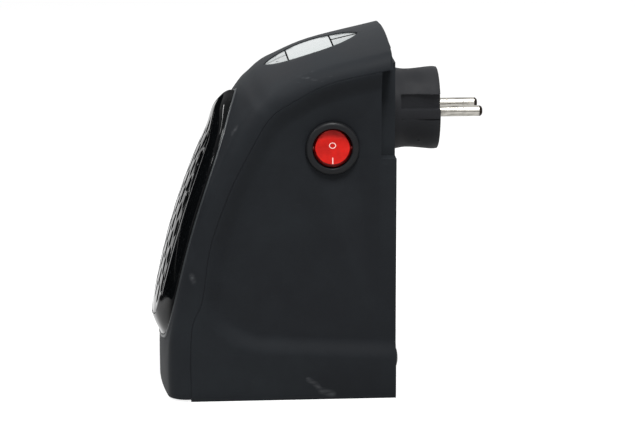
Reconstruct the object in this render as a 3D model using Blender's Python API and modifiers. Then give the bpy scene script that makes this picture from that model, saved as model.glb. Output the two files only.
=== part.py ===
"""Plug-in fan heater.

A two-piece moulded housing with a hood, a convex outlet grille of long six-sided slots in a glossy bezel,
a lens-shaped key panel on the hood, a round rocker switch in a sunk side, and a mains plug that turns in
the back wall. Inside are the fan in its duct, the heating core and the boards.

Metres, Z up. The front faces -Y, the plug points along +Y and the switch is on the +X side. The origin is
on the base, midway between the front and the back.
"""

import math

import bmesh
import bpy
from mathutils import Matrix, Vector

# Housing
HEIGHT = 0.1587
WIDTH = 0.090
DEPTH = 0.1027
WALL = 0.0022
BACK_WALL = 0.0018
FLOOR = 0.0024
CORNER_RADIUS = 0.0085
COVER_LIFT = 0.001
HOOD_BACK_WALL = 0.0038

# Running and assembly clearances, and one overrun for every cut
GAP = 0.0003
CUT_OVERRUN = 0.010

# Side outline of the front and the hood: share of the depth from the front, share of the height, and the
# drop of the crowned surface at its corners as a share of half the width
PROFILE_SHARES = (
    (0.000, 0.000, 0.058),
    (0.000, 0.120, 0.058),
    (0.014, 0.201, 0.058),
    (0.089, 0.417, 0.060),
    (0.179, 0.597, 0.064),
    (0.283, 0.757, 0.085),
    (0.348, 0.829, 0.101),
    (0.394, 0.862, 0.103),
    (0.440, 0.889, 0.096),
    (0.500, 0.9065, 0.093),
    (0.669, 0.949, 0.085),
    (0.972, 0.996, 0.084),
)
PROFILE_STEPS = 2
CROWN_COLUMN_SHARES = (0.0, 0.35, 0.70, 1.0)
CORNER_STEPS = 4

# Parting line on the side, from the base to the back: shares of the depth and of the height
PARTING_SHARES = (
    (0.121, 0.000),
    (0.126, 0.200),
    (0.172, 0.286),
    (0.210, 0.441),
    (0.296, 0.597),
    (0.378, 0.703),
    (0.461, 0.793),
    (0.555, 0.837),
    (0.716, 0.888),
    (0.975, 0.925),
)
PARTING_STEPS = 2

# Sunk panel in each side: it starts on the parting line and its sill runs on to the back
RECESS_START_INDEX = 2
RECESS_SILL_SHARES = (
    (0.184, 0.242),
    (0.220, 0.197),
    (0.287, 0.160),
    (0.390, 0.134),
    (0.530, 0.125),
    (1.0, 0.108),
)
RECESS_DEPTH = 0.0030
RECESS_BAND = 0.0075
RECESS_LAP = 0.0003
# The slope of the sunk panel's edge: share of the band's width, share of the depth
RECESS_SLOPE_SHARES = ((0.0, 0.0), (0.22, 0.10), (0.78, 0.90), (1.0, 1.0))

# Step in each top rear corner, and the block of the back wall between them
NOTCH_LEDGE_SHARE = 0.6774
NOTCH_LEDGE = NOTCH_LEDGE_SHARE * HEIGHT
NOTCH_DEPTH = 0.0067
BLOCK_WIDTH_SHARE = 0.7556
BLOCK_HALF_WIDTH = BLOCK_WIDTH_SHARE * WIDTH / 2
BLOCK_TOP_LIFT = 0.0013

# Bezel and grille: outline as shares of the half width and the half length along the front's outline
BEZEL_WIDTH_SHARE = 0.789
BEZEL_HALF_WIDTH = BEZEL_WIDTH_SHARE * WIDTH / 2
BEZEL_BOTTOM_SHARE = 0.1418
BEZEL_BOTTOM = BEZEL_BOTTOM_SHARE * HEIGHT
BEZEL_LENGTH_SHARE = 0.7152
BEZEL_LENGTH = BEZEL_LENGTH_SHARE * HEIGHT
BEZEL_OUTLINE_SHARES = (
    (0.00, 1.00),
    (0.33, 0.90),
    (0.67, 0.68),
    (0.90, 0.36),
    (1.00, -0.12),
    (0.99, -0.60),
    (0.85, -0.88),
    (0.45, -0.975),
    (0.00, -1.00),
)
BEZEL_OUTLINE_STEPS = 2
BEZEL_SHOULDER = 0.0115
BEZEL_RISE = 0.0038
# How much more the bezel rises at its foot, and less at its head
BEZEL_TILT_SHARE = 0.18
BEZEL_SKIRT_INSET = 0.0053
BEZEL_SKIRT_WALL = 0.0020
BEZEL_SKIRT_DEPTH = 0.0032
# Rounded shoulder of the bezel: share of the shoulder's width, share of the rise
SHOULDER_SHARES = ((0.05, 0.33), (0.19, 0.61), (0.43, 0.85), (0.74, 0.97), (1.0, 1.0))
GRILLE_THICKNESS = 0.0020
GRILLE_BULGE = 0.0006
GRILLE_LEDGE = 0.0020
GRILLE_RING_SHARES = (1.0, 0.68, 0.34)
SLOT_WIDTH = 0.0042
SLOT_LENGTH = 0.0094
SLOT_TIP = 0.0022
SLOT_COLUMN_PITCH = 0.0056
SLOT_ROW_PITCH = 0.0128
SLOT_EDGE_MARGIN = 0.0003
LIP_WIDTH = 0.0013
LIP_RISE = 0.0005
LIP_ROOT = 0.0008

# Key panel on the hood
PANEL_MIDDLE_SHARE = 0.660
PANEL_LENGTH_SHARE = 0.4304
PANEL_HALF_LENGTH = PANEL_LENGTH_SHARE * DEPTH / 2
PANEL_WIDTH_SHARE = 0.3444
PANEL_HALF_WIDTH = PANEL_WIDTH_SHARE * WIDTH / 2
PANEL_ARC_POINTS = 9
PANEL_EDGE_GAP = 0.0005
KEY_GAP = 0.0007
# Gap along the middle, between the keys of the front pair and of the rear pair
FRONT_SPLIT = 0.0007
REAR_SPLIT = 0.0015
KEY_DIVIDER_SHARE = 0.50
KEY_PROUD = 0.0002
KEY_THICKNESS = 0.0016
KEY_TRAVEL = 0.0005
KEY_STEM_RADIUS = 0.0018
KEY_STEM_PLACE_SHARES = (0.26, 0.66)
WINDOW_THICKNESS = 0.0020
TRAY_THICKNESS = 0.0015
TRAY_FLANGE = 0.0030
BOARD_THICKNESS = 0.0016
DISPLAY_BOARD_DEPTH = 0.0125
TACT_SIZE = 0.0060
TACT_HEIGHT = 0.0032
TACT_PLUNGER_RADIUS = 0.0017
TACT_PLUNGER_HEIGHT = 0.0008
DISPLAY_SIZE = (0.0200, 0.0120)
CROWN_DIP_SHARE = 0.09
TRAY_POST_RADIUS = 0.0015

# Rocker switch in the +X side
SWITCH_DEPTH_SHARE = 0.727
SWITCH_Y = (SWITCH_DEPTH_SHARE - 1 / 2) * DEPTH
SWITCH_HEIGHT_SHARE = 0.7076
SWITCH_Z = SWITCH_HEIGHT_SHARE * HEIGHT
SWITCH_RING_RADIUS = 0.01175
SWITCH_RING_HEIGHT = 0.0019
SWITCH_BARREL_RADIUS = 0.0101
SWITCH_BARREL_LENGTH = 0.0185
ROCKER_RADIUS = 0.00835
ROCKER_CENTRE_HEIGHT = 0.0014
ROCKER_V = math.radians(4)
ROCKER_DEPTH = 0.0050
ROCKER_SWING = math.radians(20)
ROCKER_PIN_RADIUS = 0.0009
ROCKER_PIN_LENGTH = 0.0008
SWITCH_FLOOR = 0.0015
TERMINAL_WIDTH = 0.0048
TERMINAL_THICKNESS = 0.0008
TERMINAL_LENGTH = 0.0065
TERMINAL_SPACING = 0.0056

# Mains plug that turns in the back wall
PLUG_HEIGHT_SHARE = 0.765
PLUG_HEIGHT = PLUG_HEIGHT_SHARE * HEIGHT
PLUG_RADIUS = 0.0184
PLUG_LENGTH = 0.0216
PLUG_NECK_RADIUS = 0.0157
PLUG_NECK_DEPTH = 0.0062
# Turned outline of the plug from its end face to its root: share of the length, share of the radius
PLUG_OUTLINE_SHARES = (
    (1.000, 0.930),
    (0.985, 0.965),
    (0.950, 0.985),
    (0.850, 1.000),
    (0.560, 0.965),
    (0.330, 0.952),
    (0.200, 0.960),
    (0.180, 1.000),
    (0.000, 1.000),
)
PLUG_POCKET_LENGTH_SHARE = 0.81
PLUG_POCKET_WIDTH = 0.0065
PLUG_POCKET_OFFSET = 0.00565
PLUG_POCKET_DEPTH = 0.0040
PLUG_GROOVE_WIDTH = 0.0006
PLUG_GROOVE_DEPTH = 0.0005
PLUG_GROOVE_OFFSET = 0.0021
PIN_RADIUS = 0.0024
PIN_LENGTH = 0.0194
PIN_SPACING = 0.0190
PIN_TIP_SHARE = 0.45
RETAINER_WIDTH = 0.0035
RETAINER_RADIUS = PLUG_NECK_RADIUS + GAP + RETAINER_WIDTH
RETAINER_THICKNESS = 0.0024
STOP_LUG_HEIGHT = 0.0022
STOP_LUG_WIDTH = 0.0028
STOP_SLACK = math.radians(1.5)
PLUG_SWING = math.radians(90)
CONTACT_FOOT_WIDTH = 0.0040
CONTACT_BLOCK_WIDTH = 2 * (RETAINER_RADIUS + STOP_LUG_HEIGHT + CONTACT_FOOT_WIDTH + 4 * GAP)
CONTACT_BLOCK_SIZE = (CONTACT_BLOCK_WIDTH, 0.0028, 0.0230)
SLIP_RING_RADII = ((0.0046, 0.0076), (0.0108, 0.0138))
SLIP_RING_THICKNESS = 0.0008
WIPER_THICKNESS = 0.0008
WIPER_WIDTH = 0.0036

# Fan and its duct
FAN_HEIGHT_SHARE = 0.3655
FAN_HEIGHT = FAN_HEIGHT_SHARE * HEIGHT
# The fan takes these shares of the width and of the height, whichever gives less
FAN_WIDTH_SHARE = 0.34225
FAN_TALL_SHARE = 0.19408
FAN_RADIUS = min(FAN_WIDTH_SHARE * WIDTH, FAN_TALL_SHARE * HEIGHT)
FAN_TIP_GAP = 0.0012
DUCT_WALL = 0.0020
DUCT_FRONT_SHARE = 0.42
FAN_OFFSET_SHARE = 0.1558
FAN_FRONT_OFFSET = FAN_OFFSET_SHARE * DEPTH
IMPELLER_SHARE = 0.1168
IMPELLER_DEPTH = IMPELLER_SHARE * DEPTH
HUB_RADIUS = 0.0105
HUB_WALL = 0.0020
BLADE_COUNT = 7
BLADE_THICKNESS = 0.0012
BLADE_ROOT_PITCH = math.radians(52)
BLADE_TIP_PITCH = math.radians(28)
BLADE_ROOT_CHORD = 0.0120
BLADE_TIP_CHORD = 0.0190
BLADE_CAMBER_SHARE = 0.09
BLADE_SPANS = 3
MOTOR_RADIUS = 0.0120
MOTOR_SHARE = 0.1753
MOTOR_LENGTH = MOTOR_SHARE * DEPTH
MOTOR_GAP = 0.0030
MOTOR_BOSS_RADIUS = 0.0035
MOTOR_BOSS_HEIGHT = 0.0012
SHAFT_RADIUS = 0.0010
SHAFT_INSERT = 0.0060
SPIDER_COLLAR_LENGTH = 0.0100
SPIDER_ARM_WIDTH = 0.0030
SPIDER_ARM_DEPTH = 0.0050

# Air intake slots in the back wall, behind the fan
INTAKE_WIDTH_SHARE = 0.9416
INTAKE_HALF_WIDTH = INTAKE_WIDTH_SHARE * FAN_RADIUS
INTAKE_SLOT_HEIGHT = 0.0026
INTAKE_PITCH_SHARE = 0.1818
INTAKE_PITCH = INTAKE_PITCH_SHARE * FAN_RADIUS
INTAKE_ROWS = 12
INTAKE_BOTTOM = FAN_HEIGHT - (INTAKE_ROWS - 1) / 2 * INTAKE_PITCH
INTAKE_RIB = 0.0036

# Heating core
HEATER_SHARE = 0.146
HEATER_DEPTH = HEATER_SHARE * DEPTH
HEATER_FRAME_WALL = 0.0040
BAR_COUNT = 3
BAR_HEIGHT = 0.0046
FIN_FOLDS = 10
# One wave of a folded strip: share of the pitch, share of half the height
FIN_WAVE_SHARES = ((0.05, -1.0), (0.35, -1.0), (0.55, 1.0), (0.85, 1.0))
FIN_FOIL = 0.0007
CUTOUT_RADIUS = 0.0055
CUTOUT_LENGTH = 0.0050

# Main board above the duct
MAIN_BOARD_CLEARANCE = 0.0020
MAIN_BOARD_SIDE_GAP = 0.0010
MAIN_BOARD_LENGTH_SHARE = 0.78
RELAY_SIZE = (0.0150, 0.0190, 0.0085)
CAPACITOR_RADIUS = 0.0040
CAPACITOR_LENGTH = 0.0120

# Case screws and their bosses
SCREW_LOW_SHARE = 0.6667
SCREW_LOW_X = SCREW_LOW_SHARE * WIDTH / 2
SCREW_LOW_Z = 0.0105
SCREW_HIGH_SHARE = 0.6333
SCREW_HIGH_X = SCREW_HIGH_SHARE * WIDTH / 2
SCREW_TOP_SHARE = 0.8727
SCREW_HIGH_Z = SCREW_TOP_SHARE * HEIGHT
SCREW_RADIUS = 0.0014
SCREW_HEAD_RADIUS = 0.0027
SCREW_HEAD_HEIGHT = 0.0018
SCREW_LENGTH = 0.0150
BOSS_RADIUS = 0.0042
BOSS_WALL = 0.0013
BOSS_WEB = 0.0020
HIGH_POST_LENGTH = 0.0100
HIGH_BOSS_LENGTH = 0.0140
LOW_SPLIT_SHARE = 0.58

# Rubber bumpers on the back
BUMPER_SHARE = 0.7778
BUMPER_X = BUMPER_SHARE * WIDTH / 2
BUMPER_Z = 0.0160
BUMPER_RADIUS = 0.0045
BUMPER_RISE = 0.0015
BUMPER_STEM_RADIUS = 0.0018
BUMPER_STEM_LENGTH = 0.0050

FRONT = -DEPTH / 2
BACK = DEPTH / 2
SIDE = WIDTH / 2
BACK_INNER = BACK - BACK_WALL
HOOD_BACK = BACK_INNER - GAP
MERGE_DISTANCE = 0.00001
SMOOTH_ANGLE = math.radians(35)
ROUND_STEPS = 28
SMALL_ROUND_STEPS = 14

# Local axes of flat outlines: u, v and the direction they are given thickness in
SIDEWAYS = Matrix(((0, 0, 1, 0), (1, 0, 0, 0), (0, 1, 0, 0), (0, 0, 0, 1)))
FORWARD = Matrix(((1, 0, 0, 0), (0, 0, -1, 0), (0, 1, 0, 0), (0, 0, 0, 1)))
FLAT = Matrix.Identity(4)


# Collections and materials

def clear_scene():
    for piece in list(bpy.data.objects):
        bpy.data.objects.remove(piece, do_unlink=True)


def new_collection(name):
    group = bpy.data.collections.new(name)
    bpy.context.scene.collection.children.link(group)
    return group


def finish(name, colour, roughness, metallic=0.0):
    """A plain Principled material."""
    material = bpy.data.materials.new(name)
    material.use_nodes = True
    shader = material.node_tree.nodes["Principled BSDF"]
    shader.inputs["Base Color"].default_value = (*colour, 1.0)
    shader.inputs["Roughness"].default_value = roughness
    shader.inputs["Metallic"].default_value = metallic
    material.diffuse_color = (*colour, 1.0)
    return material


def make_finishes():
    return {
        "body": finish("charcoal_abs", (0.021, 0.023, 0.027), 0.55),
        "gloss": finish("black_gloss_abs", (0.004, 0.004, 0.005), 0.12),
        "keys": finish("silver_grey_abs", (0.68, 0.71, 0.72), 0.35),
        "black": finish("black_nylon", (0.012, 0.012, 0.013), 0.5),
        "red": finish("red_translucent_pc", (0.58, 0.012, 0.006), 0.2),
        "nickel": finish("nickel_plate", (0.66, 0.62, 0.56), 0.22, 1.0),
        "brass": finish("brass", (0.60, 0.42, 0.16), 0.3, 1.0),
        "steel": finish("zinc_steel", (0.45, 0.46, 0.47), 0.35, 1.0),
        "aluminium": finish("aluminium_foil", (0.72, 0.73, 0.74), 0.35, 1.0),
        "white": finish("white_pbt", (0.72, 0.70, 0.66), 0.5),
        "board": finish("green_laminate", (0.02, 0.14, 0.05), 0.4),
        "rubber": finish("black_rubber", (0.012, 0.012, 0.012), 0.8),
        "blue": finish("blue_sleeve", (0.02, 0.06, 0.35), 0.45),
    }


# Shape helpers

class Bench:
    """Makes objects in the collection of the parts or in that of the cutters."""

    def __init__(self):
        self.parts = new_collection("fan_heater")
        self.cutters = new_collection("cutters")
        self.finishes = make_finishes()

    def add(self, name, mesh, finish_name=None, place=None):
        """An object from a mesh. Without a finish it is a cutter or a helper."""
        piece = bpy.data.objects.new(name, mesh)
        if finish_name:
            piece.data.materials.clear()
            piece.data.materials.append(self.finishes[finish_name])
            self.parts.objects.link(piece)
            mesh.shade_smooth()
            mesh.set_sharp_from_angle(angle=SMOOTH_ANGLE)
        else:
            self.cutters.objects.link(piece)
            piece.hide_render = True
            piece.display_type = "WIRE"
        if place is not None:
            piece.matrix_world = place
        return piece

    def shape(self, name, bm, finish_name=None, place=None):
        """An object from a bmesh, which is freed."""
        mesh = bpy.data.meshes.new(name)
        bm.to_mesh(mesh)
        bm.free()
        return self.add(name, mesh, finish_name, place)

    def box(self, name, low, high, finish_name=None, place=None):
        """A box between two corners. Its origin is at its middle."""
        low, high = Vector(low), Vector(high)
        bm = bmesh.new()
        bmesh.ops.create_cube(bm, size=1.0, matrix=Matrix.Diagonal((*(high - low), 1.0)))
        middle = Matrix.Translation((low + high) / 2)
        return self.shape(name, bm, finish_name, (place or FLAT) @ middle)

    def rod(self, name, radius, start, end, finish_name=None, steps=SMALL_ROUND_STEPS):
        """A cylinder between two points."""
        start, end = Vector(start), Vector(end)
        bm = bmesh.new()
        bmesh.ops.create_cone(
            bm, cap_ends=True, segments=steps, radius1=radius, radius2=radius, depth=(end - start).length
        )
        turn = (end - start).to_track_quat("Z", "Y").to_matrix().to_4x4()
        return self.shape(name, bm, finish_name, Matrix.Translation((start + end) / 2) @ turn)

    def turned(self, name, profile, place, finish_name=None, steps=ROUND_STEPS, closed=False):
        """A profile of (radius, height) points, outer side downwards, turned about the local Z axis."""
        bm = bmesh.new()
        points = [bm.verts.new((radius, 0, height)) for radius, height in profile]
        for first, second in zip(points, points[1:]):
            bm.edges.new((first, second))
        if closed:
            bm.edges.new((points[-1], points[0]))
        piece = self.shape(name, bm, finish_name, place)
        screw = piece.modifiers.new("Turn", "SCREW")
        screw.axis = "Z"
        screw.steps = steps
        screw.render_steps = steps
        screw.use_merge_vertices = True
        screw.merge_threshold = MERGE_DISTANCE
        screw.use_smooth_shade = False
        return piece

    def flat(self, name, outline, low, high, frame=SIDEWAYS, finish_name=None):
        """A flat outline in the frame's first two axes, given thickness from low to high along its third."""
        curve = bpy.data.curves.new(name, "CURVE")
        curve.dimensions = "2D"
        curve.fill_mode = "BOTH"
        curve.extrude = (high - low) / 2
        spline = curve.splines.new("POLY")
        spline.points.add(len(outline) - 1)
        for point, place in zip(spline.points, outline):
            point.co = (place[0], place[1], 0.0, 1.0)
        spline.use_cyclic_u = True
        guide = bpy.data.objects.new(name, curve)
        self.cutters.objects.link(guide)
        bpy.context.view_layer.update()
        graph = bpy.context.evaluated_depsgraph_get()
        mesh = bpy.data.meshes.new_from_object(guide.evaluated_get(graph))
        bpy.data.objects.remove(guide, do_unlink=True)
        bpy.data.curves.remove(curve)
        bm = bmesh.new()
        bm.from_mesh(mesh)
        bpy.data.meshes.remove(mesh)
        bmesh.ops.remove_doubles(bm, verts=bm.verts, dist=MERGE_DISTANCE)
        bmesh.ops.recalc_face_normals(bm, faces=bm.faces)
        middle = Matrix.Translation((0, 0, (low + high) / 2))
        return self.shape(name, bm, finish_name, frame @ middle)

    def loft(self, name, loops, finish_name=None, ring=False, place=None):
        """A skin through loops of as many points each: capped at both ends, or closed into a ring."""
        bm = bmesh.new()
        rows = [[bm.verts.new(point) for point in loop] for loop in loops]
        pairs = list(zip(rows, rows[1:]))
        if ring:
            pairs.append((rows[-1], rows[0]))
        for first, second in pairs:
            for i in range(len(first)):
                j = (i + 1) % len(first)
                bm.faces.new((first[i], first[j], second[j], second[i]))
        if not ring:
            bm.faces.new(rows[0])
            bm.faces.new(rows[-1])
        bmesh.ops.recalc_face_normals(bm, faces=bm.faces)
        return self.shape(name, bm, finish_name, place)


def boolean(piece, other, operation):
    modifier = piece.modifiers.new(f"{operation.title()} {other.name}", "BOOLEAN")
    modifier.operation = operation
    modifier.solver = "EXACT"
    modifier.object = other


def cut(piece, *cutters):
    for cutter in cutters:
        boolean(piece, cutter, "DIFFERENCE")


def join(piece, *others):
    for other in others:
        boolean(piece, other, "UNION")


def keep_inside(piece, *others):
    for other in others:
        boolean(piece, other, "INTERSECT")


def rounded(piece, width, segments=2):
    """A small bevel on the edges of a plain solid."""
    bevel = piece.modifiers.new("Edge", "BEVEL")
    bevel.width = width
    bevel.segments = segments
    bevel.limit_method = "ANGLE"


def axis_empty(name, place, collection):
    empty = bpy.data.objects.new(name, None)
    collection.objects.link(empty)
    empty.matrix_world = place
    return empty


def carry(empty, *pieces):
    """Parents the pieces to the empty on their joint's axis, leaving them where they are."""
    for piece in pieces:
        piece.parent = empty
        piece.matrix_parent_inverse = empty.matrix_world.inverted()


# Curves and outlines

def smooth_path(points, steps):
    """A Catmull-Rom curve through the points, with as many steps in each span."""
    points = [Vector(point) for point in points]
    ends = [2 * points[0] - points[1], *points, 2 * points[-1] - points[-2]]
    path = []
    for a, b, c, d in zip(ends, ends[1:], ends[2:], ends[3:]):
        for step in range(steps):
            t = step / steps
            path.append(
                (2 * b + t * (c - a) + t * t * (2 * a - 5 * b + 4 * c - d) + t**3 * (3 * b - a - 3 * c + d)) / 2
            )
    path.append(points[-1])
    return path


def shifted_path(path, distance):
    """An open path in a plane moved to its left by a distance."""
    moved = []
    for i, point in enumerate(path):
        along = (path[min(i + 1, len(path) - 1)] - path[max(i - 1, 0)]).normalized()
        moved.append(Vector((point[0] - along[1] * distance, point[1] + along[0] * distance)))
    return moved


def shrunk_loop(loop, distance):
    """A closed anticlockwise outline moved inwards by a distance."""
    moved = []
    for i, point in enumerate(loop):
        before = (point - loop[i - 1]).normalized()
        after = (loop[(i + 1) % len(loop)] - point).normalized()
        inward = Vector((-before[1] - after[1], before[0] + after[0])).normalized()
        square = Vector((-after[1], after[0]))
        moved.append(point + inward * distance / max(inward.dot(square), math.cos(math.radians(60))))
    return moved


def place_shares(rows):
    """Shares of the depth and the height as points on the side view."""
    return [Vector((FRONT + depth * DEPTH, height * HEIGHT)) for depth, height in rows]


def parting_path():
    return smooth_path(place_shares(PARTING_SHARES), PARTING_STEPS)


class Skin:
    """The outer surface of the front and the hood: a side outline, crowned across, with rounded corners."""

    def __init__(self):
        rows = [
            Vector((crown * SIDE, FRONT + depth * DEPTH, height * HEIGHT))
            for depth, height, crown in PROFILE_SHARES
        ]
        self.stations = smooth_path(rows, PROFILE_STEPS)
        self.inward = []
        for i in range(len(self.stations)):
            after = self.stations[min(i + 1, len(self.stations) - 1)]
            before = self.stations[max(i - 1, 0)]
            along = Vector((0, after.y - before.y, after.z - before.z)).normalized()
            self.inward.append(Vector((0, along.z, -along.y)))
        self.lengths = [0.0]
        for first, second in zip(self.stations, self.stations[1:]):
            self.lengths.append(self.lengths[-1] + (second.yz - first.yz).length)

    def at(self, along):
        """Crown, point and inward direction at a length along the outline from the base."""
        along = min(max(along, 0.0), self.lengths[-1])
        i = max(k for k, length in enumerate(self.lengths) if length <= along or k == 0)
        i = min(i, len(self.stations) - 2)
        t = (along - self.lengths[i]) / (self.lengths[i + 1] - self.lengths[i])
        row = self.stations[i].lerp(self.stations[i + 1], t)
        inward = self.inward[i].lerp(self.inward[i + 1], t).normalized()
        return row.x, Vector((0, row.y, row.z)), inward

    def length_at_depth(self, y):
        """Length along the outline where the hood passes a depth."""
        for i in range(len(self.stations) - 1, 0, -1):
            first, second = self.stations[i - 1], self.stations[i]
            if first.y <= y <= second.y:
                share = (y - first.y) / (second.y - first.y)
                return self.lengths[i - 1] + share * (self.lengths[i] - self.lengths[i - 1])
        return self.lengths[-1]

    def knee(self, crown, half_width, radius):
        """Where the crown meets the rounded corner, and the crown's slope there."""
        lean = math.atan2(2 * crown, half_width - radius)
        return half_width - radius * (1 - math.sin(lean)), lean

    def point(self, x, along, lift):
        """The point of the crowned surface at x and a length along the outline, raised by lift."""
        crown, middle, inward = self.at(along)
        knee, _ = self.knee(crown, SIDE, CORNER_RADIUS)
        return middle + inward * (crown * (x / knee) ** 2 - lift) + Vector((x, 0, 0))

    def arch(self, crown, half_width, radius):
        """Half of the arch across the housing: (x, drop) from the middle to the side wall."""
        knee, lean = self.knee(crown, half_width, radius)
        pairs = [(knee * share, crown * share**2) for share in CROWN_COLUMN_SHARES]
        for step in range(1, CORNER_STEPS + 1):
            angle = lean + (math.pi / 2 - lean) * step / CORNER_STEPS
            out = knee + radius * (math.sin(angle) - math.sin(lean))
            pairs.append((out, crown + radius * (math.cos(lean) - math.cos(angle))))
        return pairs

    def form(self, bench, name, inset, finish_name=None):
        """The housing's whole outer form, run on past the back and the base, or one set in by a wall."""
        rows = []
        for row, inward in zip(self.stations, self.inward):
            rows.append((row.x, Vector((0, row.y, row.z)) + inward * inset, inward))
        tail = rows[-1][1] + Vector((0, rows[-1][2].z, -rows[-1][2].y)) * -CUT_OVERRUN
        rows.append((rows[-1][0], tail, rows[-1][2]))
        arches = [self.arch(crown, SIDE - inset, CORNER_RADIUS - inset) for crown, _, _ in rows]
        loops = []
        for column in range(len(arches[0])):
            loop = []
            for (_, middle, inward), arch in zip(rows, arches):
                x, drop = arch[column]
                loop.append(middle + inward * drop + Vector((x, 0, 0)))
            x = loop[-1].x
            loop.append(Vector((x, loop[-1].y, -CUT_OVERRUN)))
            loop.append(Vector((x, loop[0].y, -CUT_OVERRUN)))
            loops.append(loop)
        for point in loops[0]:
            point.x = 0.0
        bm = bmesh.new()
        columns = [[bm.verts.new(point) for point in loop] for loop in loops]
        for first, second in zip(columns, columns[1:]):
            for i in range(len(first)):
                j = (i + 1) % len(first)
                bm.faces.new((first[j], first[i], second[i], second[j]))
        bm.faces.new(columns[-1][::-1])
        bmesh.ops.recalc_face_normals(bm, faces=bm.faces)
        piece = bench.shape(name, bm, finish_name)
        mirror = piece.modifiers.new("Both halves", "MIRROR")
        mirror.merge_threshold = MERGE_DISTANCE
        return piece


# Housing

def recess_loop():
    """The sunk panel's outline on the side view, run on past the back, anticlockwise seen from +X."""
    line = parting_path()[RECESS_START_INDEX * PARTING_STEPS:]
    rim = [(first + second) / 2 for first, second in zip(line, line[1:])]
    sill = smooth_path([line[0], *place_shares(RECESS_SILL_SHARES)], PARTING_STEPS)
    beyond = BACK + CUT_OVERRUN
    loop = [*sill, Vector((beyond, sill[-1].y)), Vector((beyond, line[-1].y)), *reversed(rim)]
    return shrunk_loop(loop, -RECESS_LAP)


def recess_block(bench, name, side, grow):
    """The solid that sinks one side panel. Grown by a wall, it keeps the inside clear of that panel."""
    outline = recess_loop()
    loops = []
    rows = [(0.0, -CUT_OVERRUN / RECESS_DEPTH), *RECESS_SLOPE_SHARES]
    for band_share, depth_share in rows:
        depth = depth_share * RECESS_DEPTH + (grow if depth_share >= 0 else 0)
        loop = shrunk_loop(outline, band_share * RECESS_BAND - grow)
        loops.append([Vector((side * (SIDE - depth), y, z)) for y, z in loop])
    return bench.loft(name, loops)


def notch_block(bench, name, side, grow):
    """The step in one top rear corner."""
    inner = BLOCK_HALF_WIDTH - grow
    outer = SIDE + CUT_OVERRUN
    low = (min(side * inner, side * outer), BACK - NOTCH_DEPTH - grow, NOTCH_LEDGE - grow)
    high = (max(side * inner, side * outer), BACK + CUT_OVERRUN, HEIGHT + CUT_OVERRUN)
    return bench.box(name, low, high)


def cover_region(bench):
    """Everything in front of and above the parting line, with the assembly gap."""
    line = shifted_path(parting_path(), GAP)
    line[0].y = COVER_LIFT
    line[-1] = Vector((HOOD_BACK, line[-1].y))
    far = FRONT - CUT_OVERRUN
    outline = [Vector((far, COVER_LIFT)), *line, Vector((HOOD_BACK, HEIGHT + CUT_OVERRUN))]
    outline.append(Vector((far, HEIGHT + CUT_OVERRUN)))
    return bench.flat("cover_region", outline, -WIDTH, WIDTH)


def housing_region(bench):
    """Everything behind and below the parting line."""
    line = parting_path()
    line[-1] = Vector((HOOD_BACK + GAP, line[-1].y))
    top = line[-1].y + BLOCK_TOP_LIFT
    outline = [*reversed(line), Vector((BACK, 0.0)), Vector((BACK, top)), Vector((HOOD_BACK + GAP, top))]
    return bench.flat("housing_region", outline, -WIDTH, WIDTH)


def low_split():
    """Depth at which the low front bosses meet the low rear posts."""
    return FRONT + LOW_SPLIT_SHARE * DEPTH


def make_front_cover(bench, skin):
    cover = skin.form(bench, "front_cover", 0.0, "body")
    keep_inside(cover, cover_region(bench))
    cavity = skin.form(bench, "cover_cavity", WALL)
    room = bench.box(
        "cover_room",
        (-WIDTH, FRONT - CUT_OVERRUN, COVER_LIFT + FLOOR),
        (WIDTH, HOOD_BACK - HOOD_BACK_WALL, HEIGHT + CUT_OVERRUN),
    )
    keep_inside(cavity, room)
    cut(cover, cavity)
    half_length = BEZEL_LENGTH / 2
    lip_rows = [
        (-LIP_WIDTH - GAP, -LIP_ROOT),
        (-LIP_WIDTH - GAP, LIP_RISE / 2),
        (-LIP_WIDTH / 2 - GAP, LIP_RISE),
        (-GAP, LIP_RISE / 2),
        (-GAP, -LIP_ROOT),
    ]
    lip = bench.loft("bezel_lip", [bezel_loop(skin, inset, lift) for inset, lift in lip_rows], ring=True)
    join(cover, lip)
    opening_inset = BEZEL_SKIRT_INSET - GAP
    opening = [bezel_loop(skin, opening_inset, lift) for lift in (half_length / 4, -half_length / 4)]
    cut(cover, bench.loft("outlet_opening", opening))
    cut(cover, panel_prism(bench, skin, "panel_opening", panel_outline(0.0), -CUT_OVERRUN, CUT_OVERRUN))
    for side in (-1, 1):
        add_low_boss(bench, skin, cover, side)
        add_high_boss(bench, skin, cover, side)
    return cover


def add_low_boss(bench, skin, cover, side):
    """A long boss behind the foot of the front that takes a case screw."""
    x, z = side * SCREW_LOW_X, SCREW_LOW_Z
    front = skin.point(x, z, 0).y + WALL / 2
    boss = bench.rod(f"low_boss_{side}", BOSS_RADIUS, (x, front, z), (x, low_split(), z))
    hole = bench.rod(
        f"low_boss_hole_{side}",
        SCREW_RADIUS + GAP,
        (x, low_split() - SCREW_LENGTH, z),
        (x, low_split() + CUT_OVERRUN, z),
    )
    join(cover, boss)
    cut(cover, hole)


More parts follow.
